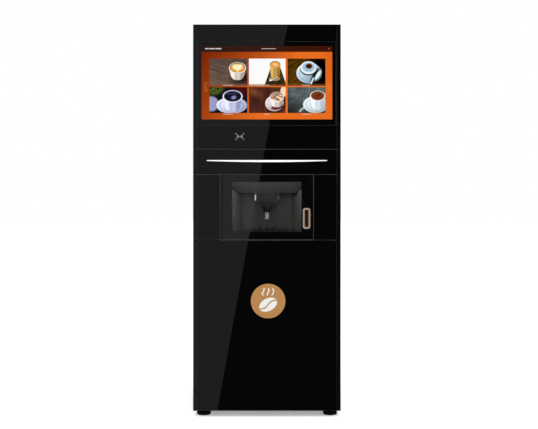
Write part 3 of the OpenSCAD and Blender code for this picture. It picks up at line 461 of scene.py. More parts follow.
def see_through(name, tint, haze=(0.01, 0.03), gloss_ior=1.5, body=0.0, body_colour=(0.5, 0.5, 0.5)):
    """Clear sheet: what lies behind shows unbent, and Fresnel adds gloss where a ray enters.

    Some of body_colour may be mixed in for a tinted or milky plastic."""
    material, tree, output = new_material(name)
    clear = add_node(tree, "BsdfTransparent", Color=(*tint, 1))
    through = clear.outputs[0]
    if body:
        milk = add_node(tree, "BsdfPrincipled", Roughness=0.35)
        cloud = spread(tree, grain(tree, 25.0), 0, 1)
        tone = two_colours(tree, cloud, shade(body_colour, 0.85), shade(body_colour, 1.1))
        tree.links.new(tone, milk.inputs["Base Color"])
        filling = add_node(tree, "MixShader", Fac=body)
        tree.links.new(clear.outputs[0], filling.inputs[1])
        tree.links.new(milk.outputs[0], filling.inputs[2])
        through = filling.outputs[0]
    gloss = add_node(tree, "BsdfGlossy")
    tree.links.new(spread(tree, grain(tree, 18.0), haze[0], haze[1]), gloss.inputs["Roughness"])
    fresnel = add_node(tree, "Fresnel", IOR=gloss_ior)
    side = add_node(tree, "NewGeometry")
    outer = add_node(tree, "Math")
    outer.operation = "SUBTRACT"
    outer.use_clamp = True
    tree.links.new(fresnel.outputs[0], outer.inputs[0])
    tree.links.new(side.outputs["Backfacing"], outer.inputs[1])
    mixed = two_shaders(tree, outer.outputs[0], through, gloss.outputs[0])
    tree.links.new(mixed, output.inputs["Surface"])
    return material


def only_below(tree, colour):
    """The colour on faces whose normal points down, and black elsewhere."""
    face = add_node(tree, "NewGeometry")
    split = add_node(tree, "SeparateXYZ")
    below = add_node(tree, "Math")
    below.operation = "LESS_THAN"
    below.inputs[1].default_value = -0.7
    tree.links.new(face.outputs["Normal"], split.inputs["Vector"])
    tree.links.new(split.outputs["Z"], below.inputs[0])
    return two_colours(tree, below.outputs[0], (0, 0, 0), colour)


def glow(name, colour, strength, downward=False):
    """Frosted lamp cover, lit a little unevenly from behind.

    With downward, only the faces that look down shine and the rest is a dark bezel."""
    material, tree, output = new_material(name)
    shader = add_node(tree, "BsdfPrincipled", Roughness=0.4, Emission_Strength=strength)
    cloud = spread(tree, grain(tree, 120.0), 0, 1)
    tone = two_colours(tree, cloud, shade(colour, 0.85), colour)
    cover = two_colours(tree, cloud, shade(colour, 0.05), shade(colour, 0.08))
    tree.links.new(cover, shader.inputs["Base Color"])
    if downward:
        tone = only_below(tree, tone)
    tree.links.new(tone, shader.inputs["Emission Color"])
    tree.links.new(shader.outputs[0], output.inputs["Surface"])
    return material


def picture_finish(name, attribute, strength):
    """Lit picture: the points' own colours, shone out through a faint raster."""
    material, tree, output = new_material(name)
    source = add_node(tree, "Attribute")
    source.attribute_name = attribute
    raster = spread(tree, grain(tree, 900.0), 0.96, 1.04)
    scaled = add_node(tree, "VectorMath")
    scaled.operation = "SCALE"
    tree.links.new(source.outputs["Color"], scaled.inputs[0])
    tree.links.new(raster, scaled.inputs["Scale"])
    shine = add_node(tree, "Emission", Strength=strength)
    tree.links.new(scaled.outputs["Vector"], shine.inputs["Color"])
    tree.links.new(shine.outputs[0], output.inputs["Surface"])
    return material


def badge_finish(name, bronze, enamel, attribute):
    """Bronze disc brushed in circles, with white enamel where the attribute says so."""
    material, tree, output = new_material(name)
    shader = add_node(tree, "BsdfPrincipled", Metallic=0.25)
    mask = add_node(tree, "Attribute")
    mask.attribute_name = attribute
    rings = add_node(tree, "Attribute")
    rings.attribute_name = "ring_place"
    noise = add_node(tree, "TexNoise", Scale=1.0, Detail=5.0)
    tree.links.new(rings.outputs["Vector"], noise.inputs["Vector"])
    brush = spread(tree, noise.outputs["Fac"], 0, 1)
    tone = two_colours(tree, brush, shade(bronze, 0.86), shade(bronze, 1.12))
    surface = two_colours(tree, mask.outputs["Fac"], tone, enamel)
    tree.links.new(surface, shader.inputs["Base Color"])
    tree.links.new(spread(tree, noise.outputs["Fac"], 0.3, 0.42), shader.inputs["Roughness"])
    tree.links.new(relief(tree, noise.outputs["Fac"], 0.00001), shader.inputs["Normal"])
    tree.links.new(shader.outputs[0], output.inputs["Surface"])
    return material


# ---------- the menu picture, painted with formulas ----------


def share_inside(distance, soft=0.012):
    """1 inside a shape and 0 outside, from its signed distance, with a soft edge."""
    return np.clip(0.5 - distance / soft, 0, 1)


def lay(picture, colour, share):
    """Paints one colour, or a colour for every point, over the picture by a share."""
    picture += (np.asarray(colour) - picture) * share[..., None]


def oval(s, t, middle, half, tilt=0.0):
    """Signed distance to an oval: (radius in half axes - 1) times the short half axis."""
    turn = math.radians(tilt)
    ds = s - middle[0]
    dt = t - middle[1]
    a = (ds * math.cos(turn) + dt * math.sin(turn)) / half[0]
    b = (dt * math.cos(turn) - ds * math.sin(turn)) / half[1]
    return (np.hypot(a, b) - 1) * min(half)


def stroke(s, t, start, end, half_width):
    """Signed distance to a straight stroke with round ends."""
    run = np.subtract(end, start)
    share = ((s - start[0]) * run[0] + (t - start[1]) * run[1]) / np.dot(run, run)
    share = np.clip(share, 0, 1)
    return np.hypot(s - start[0] - share * run[0], t - start[1] - share * run[1]) - half_width


def ripple(s, t, fineness, seed):
    """Cloudy value from -1 to 1: three crossing sine waves with seeded directions."""
    value = np.zeros_like(s)
    for k in range(3):
        angle = seed * 1.7 + k * 2.1
        wave = fineness * (1 + 0.6 * k)
        phase = seed * (k + 1) * 3.3
        along = s * math.cos(angle) + t * math.sin(angle)
        bend = 1.5 * np.sin(wave * 0.4 * t + phase)
        value += np.sin(wave * along + phase + bend)
    return value / 3


def spot(picture, s, t, colour, middle, half, tilt=0.0, soft=0.012, share=1.0):
    """Paints an oval of one colour, with a soft edge, by a share."""
    lay(picture, colour, share_inside(oval(s, t, middle, half, tilt), soft) * share)


def hoop(picture, s, t, colour, middle, half, tilt=0.0, soft=0.03, share=1.0):
    """Paints the soft outline of an oval, by a share."""
    lay(picture, colour, share_inside(np.abs(oval(s, t, middle, half, tilt)), soft) * share)


def streak_line(picture, s, t, colour, start, end, half_width, soft=0.012, share=1.0):
    """Paints a straight stroke of one colour, with a soft edge, by a share."""
    lay(picture, colour, share_inside(stroke(s, t, start, end, half_width), soft) * share)


def between(dark, light, tone):
    """Colour of every point between dark and light by its tone."""
    return np.asarray(dark) + (np.asarray(light) - np.asarray(dark)) * tone[..., None]


def planks(picture, s, t, base, tone, pitch, tilt, seed):
    """Wooden boards: a tone per board, grain along it and a dark joint beside it."""
    turn = math.radians(tilt)
    along = s * math.cos(turn) + t * math.sin(turn)
    across = t * math.cos(turn) - s * math.sin(turn)
    board = np.floor(across / pitch)
    step = np.sin(board * 12.9898 + seed * 78.233) * 0.5
    streak = np.sin(across * 210 + 4 * np.sin(along * 5 + board)) * 0.22
    streak += ripple(along * 0.5, across * 3, 16, seed) * 0.4
    picture[:] = np.asarray(base) + np.asarray(tone) * (step + streak)[..., None]
    joint = np.abs(across / pitch - np.round(across / pitch)) * pitch
    lay(picture, shade(base, 0.45), np.clip(1 - joint / 0.008, 0, 1) * 0.8)


def saucer(picture, s, t, middle, half, light, dark):
    """Round saucer: a pale rim, a darker well and a soft shadow below."""
    spot(picture, s, t, (0.03, 0.03, 0.04), (middle[0] + 0.02, middle[1] - 0.03), half, soft=0.06,
         share=0.6)
    rim = oval(s, t, middle, half)
    tone = np.clip(0.55 + (middle[0] - s) / half[0] * 0.35 + (t - middle[1]) / half[1] * 0.25, 0, 1)
    lay(picture, between(dark, light, tone), share_inside(rim))
    ring = np.abs(rim + 0.22 * min(half))
    lay(picture, shade(dark, 0.9), np.clip(1 - ring / 0.02, 0, 1) * 0.35 * share_inside(rim))


def cup(picture, s, t, mouth, half, foot, foot_w, light, dark, drink, drink_half=0.86):
    """Cup seen from above at a slant: a tapered body, a rim, and the drink in its mouth."""
    height = np.clip((t - foot) / (mouth[1] - foot), 0, 1)
    half_w = foot_w + (half[0] - foot_w) * height ** 0.55
    side = np.abs(s - mouth[0]) - half_w
    body = np.maximum(side, np.maximum(t - mouth[1], foot - t))
    body = np.minimum(body, oval(s, t, (mouth[0], foot), (foot_w, foot_w * 0.38)))
    across = (s - mouth[0]) / half[0]
    tone = np.clip(0.62 - across * 0.45 + 0.12 * np.sin(9 * across), 0, 1)
    lay(picture, between(dark, light, tone), share_inside(body))
    spot(picture, s, t, light, mouth, half)
    inner = (half[0] * drink_half, half[1] * drink_half)
    spot(picture, s, t, shade(dark, 0.8), (mouth[0], mouth[1] + 0.004), inner)
    spot(picture, s, t, drink, (mouth[0], mouth[1] - 0.006), (inner[0] * 0.95, inner[1] * 0.93))


def tile_latte(s, t):
    """White bowl cup of latte with a pale leaf of foam, on grey-brown boards."""
    picture = np.zeros(s.shape + (3,))
    planks(picture, s, t, (0.42, 0.35, 0.31), (0.10, 0.09, 0.08), 0.21, -14, 1)
    spot(picture, s, t, (0.12, 0.09, 0.08), (0.86, 0.2), (0.24, 0.14), soft=0.18, share=0.8)
    cup(picture, s, t, (0.741, 0.479), (0.226, 0.147), 0.2, 0.13,
        (0.95, 0.93, 0.88), (0.55, 0.52, 0.47), (0.84, 0.58, 0.24), 0.9)
    foam = np.minimum(oval(s, t, (0.74, 0.49), (0.125, 0.075)), oval(s, t, (0.745, 0.42), (0.03, 0.05)))
    for side in (-1, 1):
        foam = np.minimum(foam, oval(s, t, (0.74 + side * 0.07, 0.515), (0.06, 0.045), side * 25))
    lay(picture, (1.0, 0.95, 0.80), share_inside(foam, 0.05))
    for k in (-1, 0, 1):
        streak_line(picture, s, t, (0.90, 0.72, 0.42), (0.74, 0.43), (0.74 + k * 0.07, 0.56), 0.003,
                    soft=0.02, share=0.6)
    return picture


def tile_tall_glass(s, t):
    """Tall glass of latte on a dark board that runs to a white background."""
    picture = np.ones(s.shape + (3,)) * (0.995, 0.995, 0.99)
    left = 0.42 + (t / 0.47) * 0.16
    right = 1.03 - (t / 0.47) * 0.16
    board = np.maximum(np.maximum(left - s, s - right), t - 0.47)
    lay(picture, (0.33, 0.27, 0.15), share_inside(board))
    shadow = np.clip(0.9 - t * 2.6, 0, 1) * (0.6 + 0.4 * ripple(s, t, 22, 2))
    lay(picture, (0.13, 0.10, 0.05), share_inside(board) * shadow)
    spot(picture, s, t, (0.80, 0.79, 0.74), (0.70, 0.20), (0.15, 0.06), share=0.75)
    spot(picture, s, t, (0.36, 0.29, 0.16), (0.70, 0.21), (0.115, 0.04), share=0.9)
    cup(picture, s, t, (0.715, 0.582), (0.148, 0.095), 0.22, 0.098,
        (0.86, 0.73, 0.45), (0.52, 0.38, 0.18), (0.89, 0.62, 0.34), 0.93)
    spot(picture, s, t, (0.97, 0.80, 0.58), (0.72, 0.585), (0.06, 0.035), soft=0.04)
    hoop(picture, s, t, (0.80, 0.50, 0.24), (0.715, 0.578), (0.095, 0.058), soft=0.02, share=0.5)
    spot(picture, s, t, (0.98, 0.96, 0.90), (0.60, 0.155), (0.045, 0.026), 20)
    streak_line(picture, s, t, (0.9, 0.88, 0.8), (0.60, 0.15), (0.80, 0.24), 0.006)
    return picture


def tile_espresso(s, t):
    """Pale cup and saucer from above, a small dark coffee, on dark oiled wood."""
    picture = np.zeros(s.shape + (3,))
    planks(picture, s, t, (0.27, 0.19, 0.07), (0.20, 0.14, 0.05), 0.26, 32, 3)
    spot(picture, s, t, (0.03, 0.025, 0.02), (0.86, 0.40), (0.26, 0.42), 12, soft=0.25, share=0.95)
    saucer(picture, s, t, (0.565, 0.335), (0.335, 0.275), (0.88, 0.94, 0.98), (0.42, 0.53, 0.60))
    spot(picture, s, t, (0.05, 0.06, 0.07), (0.74, 0.24), (0.09, 0.22), -28, soft=0.05, share=0.9)
    spot(picture, s, t, (0.86, 0.93, 0.97), (0.80, 0.28), (0.05, 0.16), -30, soft=0.03)
    spot(picture, s, t, (0.25, 0.17, 0.10), (0.55, 0.445), (0.222, 0.175), share=0.8)
    spot(picture, s, t, (0.90, 0.95, 0.98), (0.55, 0.479), (0.212, 0.17))
    spot(picture, s, t, (0.62, 0.72, 0.79), (0.555, 0.49), (0.165, 0.128), soft=0.05)
    spot(picture, s, t, (0.42, 0.28, 0.15), (0.565, 0.52), (0.088, 0.07))
    spot(picture, s, t, (0.20, 0.12, 0.07), (0.565, 0.52), (0.055, 0.042), soft=0.03)
    streak_line(picture, s, t, (0.95, 0.98, 1.0), (0.62, 0.06), (0.68, 0.20), 0.02, soft=0.03)
    return picture


def tile_black_coffee(s, t):
    """Blue-white cup of black coffee that mirrors a window, on a wide saucer."""
    picture = np.ones(s.shape + (3,)) * (0.10, 0.10, 0.12)
    spot(picture, s, t, (0.34, 0.40, 0.20), (0.16, 0.60), (0.22, 0.12), 15, soft=0.1)
    leaves = np.clip(ripple(s, t, 40, 5), 0, 1) * share_inside(0.52 - t, 0.1)
    lay(picture, (0.07, 0.09, 0.05), leaves)
    spot(picture, s, t, (0.30, 0.10, 0.14), (0.82, 0.60), (0.26, 0.16), soft=0.2)
    spot(picture, s, t, (0.60, 0.61, 0.74), (0.05, 0.24), (0.2, 0.2), 35, soft=0.05)
    saucer(picture, s, t, (0.59, 0.2), (0.41, 0.22), (0.93, 0.94, 1.0), (0.58, 0.60, 0.74))
    cup(picture, s, t, (0.612, 0.441), (0.265, 0.162), 0.09, 0.14,
        (0.92, 0.93, 1.0), (0.44, 0.46, 0.62), (0.10, 0.10, 0.17), 0.88)
    hoop(picture, s, t, (0.34, 0.18, 0.12), (0.62, 0.43), (0.14, 0.085), soft=0.05, share=0.8)
    spot(picture, s, t, (0.50, 0.55, 0.72), (0.64, 0.41), (0.07, 0.05), 20, soft=0.04)
    streak_line(picture, s, t, (0.36, 0.38, 0.52), (0.45, 0.50), (0.74, 0.53), 0.012, soft=0.03,
                share=0.7)
    return picture


def tile_striped_cup(s, t):
    """White cup with chocolate stripes over its foam, on red-brown boards."""
    picture = np.zeros(s.shape + (3,))
    planks(picture, s, t, (0.40, 0.24, 0.19), (0.15, 0.10, 0.07), 0.27, 92, 4)
    spot(picture, s, t, (0.68, 0.44, 0.24), (0.15, 0.56), (0.15, 0.07), -20, soft=0.15, share=0.5)
    spot(picture, s, t, (0.93, 0.82, 0.68), (0.98, 0.60), (0.12, 0.15))
    saucer(picture, s, t, (0.70, 0.26), (0.255, 0.215), (0.95, 0.93, 0.93), (0.62, 0.52, 0.52))
    spot(picture, s, t, (0.30, 0.08, 0.07), (0.78, 0.16), (0.17, 0.06), 12, soft=0.03, share=0.85)
    cup(picture, s, t, (0.765, 0.44), (0.19, 0.138), 0.2, 0.12,
        (0.96, 0.94, 0.92), (0.58, 0.46, 0.44), (0.93, 0.80, 0.68), 0.9)
    inside = share_inside(oval(s, t, (0.765, 0.434), (0.158, 0.11)))
    stripes = (((0.61, 0.52), (0.86, 0.33)), ((0.60, 0.44), (0.79, 0.35)), ((0.66, 0.54), (0.93, 0.42)),
               ((0.62, 0.40), (0.80, 0.53)), ((0.74, 0.56), (0.92, 0.50)))
    for start, end in stripes:
        lay(picture, (0.28, 0.09, 0.07), share_inside(stroke(s, t, start, end, 0.010), 0.014) * inside)
    return picture


def tile_cocoa(s, t):
    """White cup of cocoa on a saucer with a spoon, on grey slate."""
    picture = np.ones(s.shape + (3,)) * (0.36, 0.395, 0.395)
    picture += 0.05 * (ripple(s, t, 11, 6) + ripple(s, t, 37, 7))[..., None]
    lay(picture, (0.12, 0.14, 0.14), np.clip(0.9 - (s * 0.9 + t * 1.6), 0, 0.8))
    saucer(picture, s, t, (0.741, 0.22), (0.335, 0.225), (0.93, 0.96, 0.98), (0.60, 0.66, 0.68))
    spot(picture, s, t, (0.88, 0.90, 0.90), (0.37, 0.085), (0.085, 0.03), 42, soft=0.015)
    spot(picture, s, t, (0.30, 0.32, 0.32), (0.375, 0.08), (0.05, 0.014), 42, soft=0.02)
    cup(picture, s, t, (0.794, 0.456), (0.2, 0.135), 0.13, 0.125,
        (0.96, 0.97, 0.98), (0.60, 0.66, 0.70), (0.50, 0.25, 0.14), 0.9)
    hoop(picture, s, t, (0.32, 0.13, 0.07), (0.80, 0.45), (0.075, 0.045), 25, share=0.8)
    streak_line(picture, s, t, (0.24, 0.09, 0.05), (0.77, 0.43), (0.84, 0.48), 0.008, soft=0.02)
    spot(picture, s, t, (0.80, 0.85, 0.88), (0.80, 0.14), (0.07, 0.05), soft=0.04, share=0.7)
    return picture


TILES = (tile_latte, tile_tall_glass, tile_espresso, tile_black_coffee, tile_striped_cup, tile_cocoa)
TILE_CONTRAST = 1.14
# x ranges of the three columns and z ranges of the two rows, in metres
TILE_COLUMNS = ((-0.2597, -0.0887), (-0.0812, 0.0845), (0.0938, 0.2650))
TILE_ROWS = ((1.4967, 1.6197), (1.3739, 1.4907))


# half width of each tile's caption, and how far it stands over its tile's lower edge by row
CAPTION_HALF_W = (0.023, 0.010, 0.018, 0.022, 0.013, 0.020)
CAPTION_RISE = (0.0030, -0.0054)
CAPTION_H = 0.0022
HEADER_Z = 1.6647
# x, half width and height of each bar in the header
HEADER_BARS = (
    (0.0072, 0.032, 0.0024),
    (-0.2715, 0.0085, 0.0052),
    (-0.2475, 0.0125, 0.0052),
    (-0.2190, 0.0130, 0.0052),
)
DOT_X = 0.2809
DOT_R = 0.0032


def menu_field(u, v, settings):
    """Orange field that brightens to the right and down, under a dark header strip. The darkening
    towards the upper left is painted shade, and the header's greyer left end holds painted reflection
    haze, both standing for the glass's reflection over the screen.
    """
    # painted shade: the field darkens towards the upper left, standing for the glass's dark reflection
    # over the screen
    slant = u * 1.15 + (1 - v) * 0.42
    unshaded_share = np.clip(slant / 0.9, 0, 1) ** 1.1
    unshaded_share = np.minimum(unshaded_share, 1 - 0.18 * np.clip((u - 0.9) * 8, 0, 1) * v)
    picture = between(settings.field_dark, settings.field_bright, unshaded_share)
    header = share_inside(1 - settings.header_share - v, 0.006)
    # painted reflection: the header's greyer left end is its own dark colour with the glass's
    # reflection haze painted in
    lay(picture, between((0.19, 0.105, 0.10), (0.25, 0.085, 0.01), u), header)
    x = u * settings.picture_w
    z = v * settings.picture_h
    for side in (0.018, settings.picture_w - 0.016):
        for k in range(4):
            middle = (side + 0.004 * math.cos(k * 2.2), 0.130 + k * 0.011)
            leaf = oval(x, z, middle, (0.008, 0.0022), 35 + 50 * k)
            lay(picture, (0.92, 0.60, 0.36), share_inside(leaf, 0.004) * 0.55)
    return picture


# ---------- finishes ----------


def finishes():
    """The finish of every material slot, made once and kept by its name."""
    settings = bpy.context.scene.coffee_finishes
    steel = (0.56, 0.57, 0.58)
    return {
        "cabinet_paint": lambda n: powder_coat(n, settings.paint),
        "frame_steel": lambda n: brushed_metal(n, (0.42, 0.43, 0.44), "Z", (0.34, 0.5), 0.5),
        "back_panel": lambda n: powder_coat(n, (0.03, 0.031, 0.033)),
        "black_glass": lambda n: gloss_black(n),
        "strip_black": lambda n: solid_finish(n, (0.0016, 0.0017, 0.0018), (0.03, 0.07), 300,
                                                contrast=0.12),
        "coated_glass": lambda n: see_through(n, (0.985, 0.985, 0.985), gloss_ior=1.16),
        "clear_glass": lambda n: see_through(n, (0.98, 0.985, 0.98)),
        "picture": lambda n: moulded_plastic(n, (0.02, 0.02, 0.021)),
        "border_black": lambda n: gloss_black(n, (0.0008, 0.0008, 0.0008)),
        "liner_grey": lambda n: solid_finish(n, settings.liner, (0.34, 0.46), 1200, height=0.00002,
                                              contrast=0.1),
        "outlet_black": lambda n: solid_finish(n, (0.022, 0.022, 0.023), (0.2, 0.3), 900,
                                                 height=0.00001),
        "chrome": lambda n: brushed_metal(n, (0.80, 0.81, 0.82), "Z", (0.12, 0.2), 0.3),
        "polished_trim": lambda n: brushed_metal(n, (0.86, 0.865, 0.87), "X", (0.28, 0.36), 0.1),
        "copper": lambda n: brushed_metal(n, settings.copper, "Z", (0.26, 0.38), 0.35),
        "badge_copper": lambda n: brushed_metal(n, settings.bronze, "X", (0.3, 0.4)),
        "lamp": lambda n: glow(n, (1.0, 0.97, 0.92), settings.lamp_strength, downward=True),
        "foot_rubber": lambda n: rubber(n, (0.006, 0.006, 0.0065)),
        "clear_plastic": lambda n: see_through(n, (0.93, 0.95, 0.96), (0.08, 0.16), 1.49, 0.18,
                                               (0.75, 0.78, 0.8)),
        "smoke_plastic": lambda n: see_through(n, (0.45, 0.42, 0.38), (0.08, 0.16), 1.49, 0.3,
                                               (0.10, 0.08, 0.07)),
        "white_plastic": lambda n: moulded_plastic(n, (0.70, 0.70, 0.68)),
        "blue_plastic": lambda n: moulded_plastic(n, (0.03, 0.13, 0.34)),
        "brown_plastic": lambda n: moulded_plastic(n, (0.12, 0.045, 0.018)),
        "dark_plastic": lambda n: moulded_plastic(n, (0.014, 0.014, 0.015)),
        "stainless": lambda n: brushed_metal(n, steel, "Z"),
        "copper_pipe": lambda n: polished_metal(n, (0.62, 0.33, 0.20), (0.16, 0.3)),
        "box_paint": lambda n: powder_coat(n, (0.24, 0.25, 0.26)),
        "switch_red": lambda n: moulded_plastic(n, (0.34, 0.02, 0.015)),
    }


# nodes that look different from the rest of their slot
OWN_FINISH = {
    "upper_door_frame": "strip_black",
    "lower_door_frame": "strip_black",
    "touch_glass": "coated_glass",
}


def finish(slot):
    """The material of a slot, made at its first use."""
    name = "finish_" + slot
    return bpy.data.materials.get(name) or finishes()[slot](name)


def front_y():
    """Plane of the glass front."""
    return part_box("header_glass")[0].y


# ---------- operators ----------


class COFFEE_OT_cad_finishes(bpy.types.Operator):
    """Gives every CAD node the finish of its material slot"""

    bl_idname = "coffee.cad_finishes"
    bl_label = "CAD finishes"

    def execute(self, context):
        for name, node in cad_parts.items():
            for place in node.material_slots:
                slot = place.material.name.split(".")[0]
                place.material = finish(OWN_FINISH.get(name, slot))
        return {"FINISHED"}


class COFFEE_OT_display(bpy.types.Operator):
    """Builds the display's housing, its menu picture and the black border print"""

    bl_idname = "coffee.display"
    bl_label = "Display"

    def execute(self, context):
        settings = context.scene.coffee_screen
        low, high, middle = middle_of("display_panel")
        glass_low, glass_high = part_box("touch_glass")
        middle_x = middle[0]
        middle_z = middle[2] + settings.picture_rise
        plane = glass_high.y
        self.housing(low, high, middle, plane)
        self.field(settings, middle_x, middle_z, plane)
        self.tiles(settings, plane)
        self.labels(settings, plane)
        self.border(glass_low, glass_high, settings, (middle_x, middle_z))
        return {"FINISHED"}

    def housing(self, low, high, middle, plane):
        """Shallow tray with round edges, with a stepped box for the electronics behind.

        Sections of a round rectangle, each with its own size and y, are skinned in order."""
        w = high.x - low.x
        h = high.z - low.z
        tray_depth = high.y - 0.010 - plane
        box_depth = high.y - plane
        box_w = 0.190
        box_h = 0.130
        sections = [
            (0.0, 0.0, 0.0005), (w - 0.004, h - 0.004, 0.0005), (w - 0.0008, h - 0.0008, 0.0012),
            (w - 0.0008, h - 0.0008, tray_depth - 0.003), (w - 0.006, h - 0.006, tray_depth),
            (box_w, box_h, tray_depth), (box_w - 0.010, box_h - 0.010, tray_depth + 0.002),
            (box_w - 0.012, box_h - 0.012, box_depth - 0.001),
            (box_w - 0.016, box_h - 0.016, box_depth - 0.0001), (0.0, 0.0, box_depth - 0.0001),
        ]
        rings = []
        for width, height, depth in sections:
            width = max(width, 1e-6)
            path, _ = round_rect(width, max(height, 1e-6), min(0.004, width / 4))
            rings.append(on_front(path, plane + depth, (middle[0], middle[2])))
        points = np.stack(rings)
        faces = grid_faces(len(sections), points.shape[1], close_columns=True)
        make_piece("display_housing", points, faces, "upper_door", "dark_plastic",
                   replaces=["display_panel"])

    def field(self, settings, x, z, plane):
        """Even grid over the lit area, coloured by menu_field."""
        half_w = settings.picture_w / 2
        half_h = settings.picture_h / 2
        points, faces, u, v = flat_slab(x - half_w, x + half_w, z - half_h, z + half_h,
                                        plane + 0.0003, 0.0002, 250, 141)
        material = picture_finish("menu_field_light", "light", settings.brightness)
        piece = make_piece("menu_field", points, faces, "upper_door", "picture", material, mend=False)
        paint_points(piece, "light", menu_field(u, v, settings))

    def tiles(self, settings, plane):
        """Six pictures in two rows, each an even grid coloured by its own formula."""
        material = picture_finish("menu_tile_light", "light", settings.brightness)
        for k, paint in enumerate(TILES):
            x0, x1 = TILE_COLUMNS[k % 3]
            z0, z1 = TILE_ROWS[k // 3]
            points, faces, u, v = flat_slab(x0, x1, z0, z1, plane + 0.00015, 0.0001, 122, 86)
            t = v * (z1 - z0) / (x1 - x0)
            colours = 0.5 + (paint(u, t) - 0.5) * TILE_CONTRAST
            if k < 3:
                lay(colours, (0.55, 0.33, 0.22), share_inside(v - 0.065, 0.01) * 0.55)
            name = "menu_tile_%d" % (k + 1)
            piece = make_piece(name, points, faces, "upper_door", "picture", material, mend=False)
            paint_points(piece, "light", colours)

    def labels(self, settings, plane):
        """Short pale bars where the tiles' captions and the header's words would be."""
        bars = []
        for k, half in enumerate(CAPTION_HALF_W):
            x0, x1 = TILE_COLUMNS[k % 3]
            z = TILE_ROWS[k // 3][0] + CAPTION_RISE[k // 3]
            bars.append(((x0 + x1) / 2 - 0.001, z, half, CAPTION_H))
        bars += [(x, HEADER_Z, half, thick) for x, half, thick in HEADER_BARS]
        parts = []
        for x, z, half, thick in bars:
            path = np.stack([np.linspace(x - half, x + half, 6), np.full(6, z)], axis=-1)
            parts.append(ribbon(path, thick, plane + 0.00008, 0.00006))
        points, faces = joined(parts)
        material = glow("label_light", (0.86, 0.78, 0.72), settings.brightness * 0.75)
        make_piece("menu_labels", points, faces, "upper_door", "picture", material)
        points, faces = self.dot(DOT_X, HEADER_Z, DOT_R, plane)
        material = glow("dot_light", (0.45, 0.03, 0.12), settings.brightness)
        make_piece("menu_dot", points, faces, "upper_door", "picture", material)

    def dot(self, x, z, radius, plane):
        """Small round spot: a disc with its rim carried back and closed at both poles."""
        angle = full_turn(20)
        sizes = np.array([0, radius, radius, 0])
        y = plane + np.array([0.00008, 0.00008, 0.00014, 0.00014])
        points = np.stack([x + sizes[:, None] * np.cos(angle), y[:, None] + 0 * angle,
                           z + sizes[:, None] * np.sin(angle)], axis=-1)
        return points, grid_faces(4, 20, close_columns=True)

    def border(self, low, high, settings, centre):
        """Black print inside the back of the touch glass, open over the picture."""
        w = high.x - low.x - 0.0006
        h = high.z - low.z - 0.0006
        outer, _ = round_rect(w, h, 0.002)
        inner, _ = round_rect(settings.picture_w, settings.picture_h, 0.0015)
        glass_z = (low.z + high.z) / 2
        y0 = high.y - 0.0003
        y1 = high.y - 0.0001
        loops = [(outer, glass_z, y0), (inner, centre[1], y0), (inner, centre[1], y1),
                 (outer, glass_z, y1)]
        points = np.stack([on_front(path, y, (centre[0], z)) for path, z, y in loops])
        faces = grid_faces(4, len(outer), True, True)
        make_piece("border_print", points, faces, "upper_door", "border_black")


# how far a bead's middle lies from the edge of the glass beside it, by seam
HEADER_SEAM = 0.00125
BAR_SEAM = 0.0012
FASCIA_SEAM = 0.0011
DOOR_SEAM = 0.0009
SIDE_SEAM = 0.0003


class COFFEE_OT_seam_beads(bpy.types.Operator):
    """Lays thin metal beads in the seams between the glass panes"""

    bl_idname = "coffee.seam_beads"
    bl_label = "Seam beads"

    def execute(self, context):
        r = context.scene.coffee_trim.bead_r
        material = brushed_metal("bead_metal", (0.20, 0.205, 0.21), "X", (0.3, 0.4))
        bar_low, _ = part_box("bar_fascia")
        header_low, header_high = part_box("header_glass")
        touch_low, touch_high, touch_middle = middle_of("touch_glass")
        side_low, side_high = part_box("left_fascia")
        right_low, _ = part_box("right_fascia")
        lower_low, lower_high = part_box("lower_door_glass")
        y = header_low.y + r + 0.0002
        half = header_high.x

        def level(z):
            return (-half, y, z), (half, y, z)

        def upright(x, glass_low, glass_high):
            return (x, y, glass_low.z), (x, y, glass_high.z)

        edge = half + SIDE_SEAM
        lines = {
            "upper_door": [
                level(header_low.z - HEADER_SEAM),
                level(bar_low.z - BAR_SEAM),
                upright(-edge, side_low, header_high),
                upright(edge, side_low, header_high),
                upright(side_high.x + FASCIA_SEAM, side_low, side_high),
                upright(right_low.x - FASCIA_SEAM, side_low, side_high),
                level(side_low.z - FASCIA_SEAM),
            ],
            "lower_door": [
                level(lower_high.z + DOOR_SEAM),
                upright(-edge, lower_low, lower_high),
                upright(edge, lower_low, lower_high),
                level(lower_low.z - DOOR_SEAM),
            ],
        }
        for body, rows in lines.items():
            points, faces = joined([bead(a, b, r) for a, b in rows])
            make_piece(body + "_beads", points, faces, body, "polished_trim", material)
        w = touch_high.x - touch_low.x + DOOR_SEAM
        h = touch_high.z - touch_low.z + DOOR_SEAM
        path, out = round_rect(w, h, 0.0015, 6)
        angle = full_turn(8)
        gasket_r = 0.0005
        gasket_y = header_low.y + 0.0006
        profile = np.stack([gasket_r * np.cos(angle), gasket_y + gasket_r * np.sin(angle)], axis=-1)
        points, faces = ring_on_front(path, out, profile, (touch_middle[0], touch_middle[2]))
        dark = brushed_metal("gasket_metal", (0.10, 0.10, 0.105), "X", (0.35, 0.45))
        make_piece("touch_glass_gasket", points, faces, "upper_door", "polished_trim", dark)
        return {"FINISHED"}


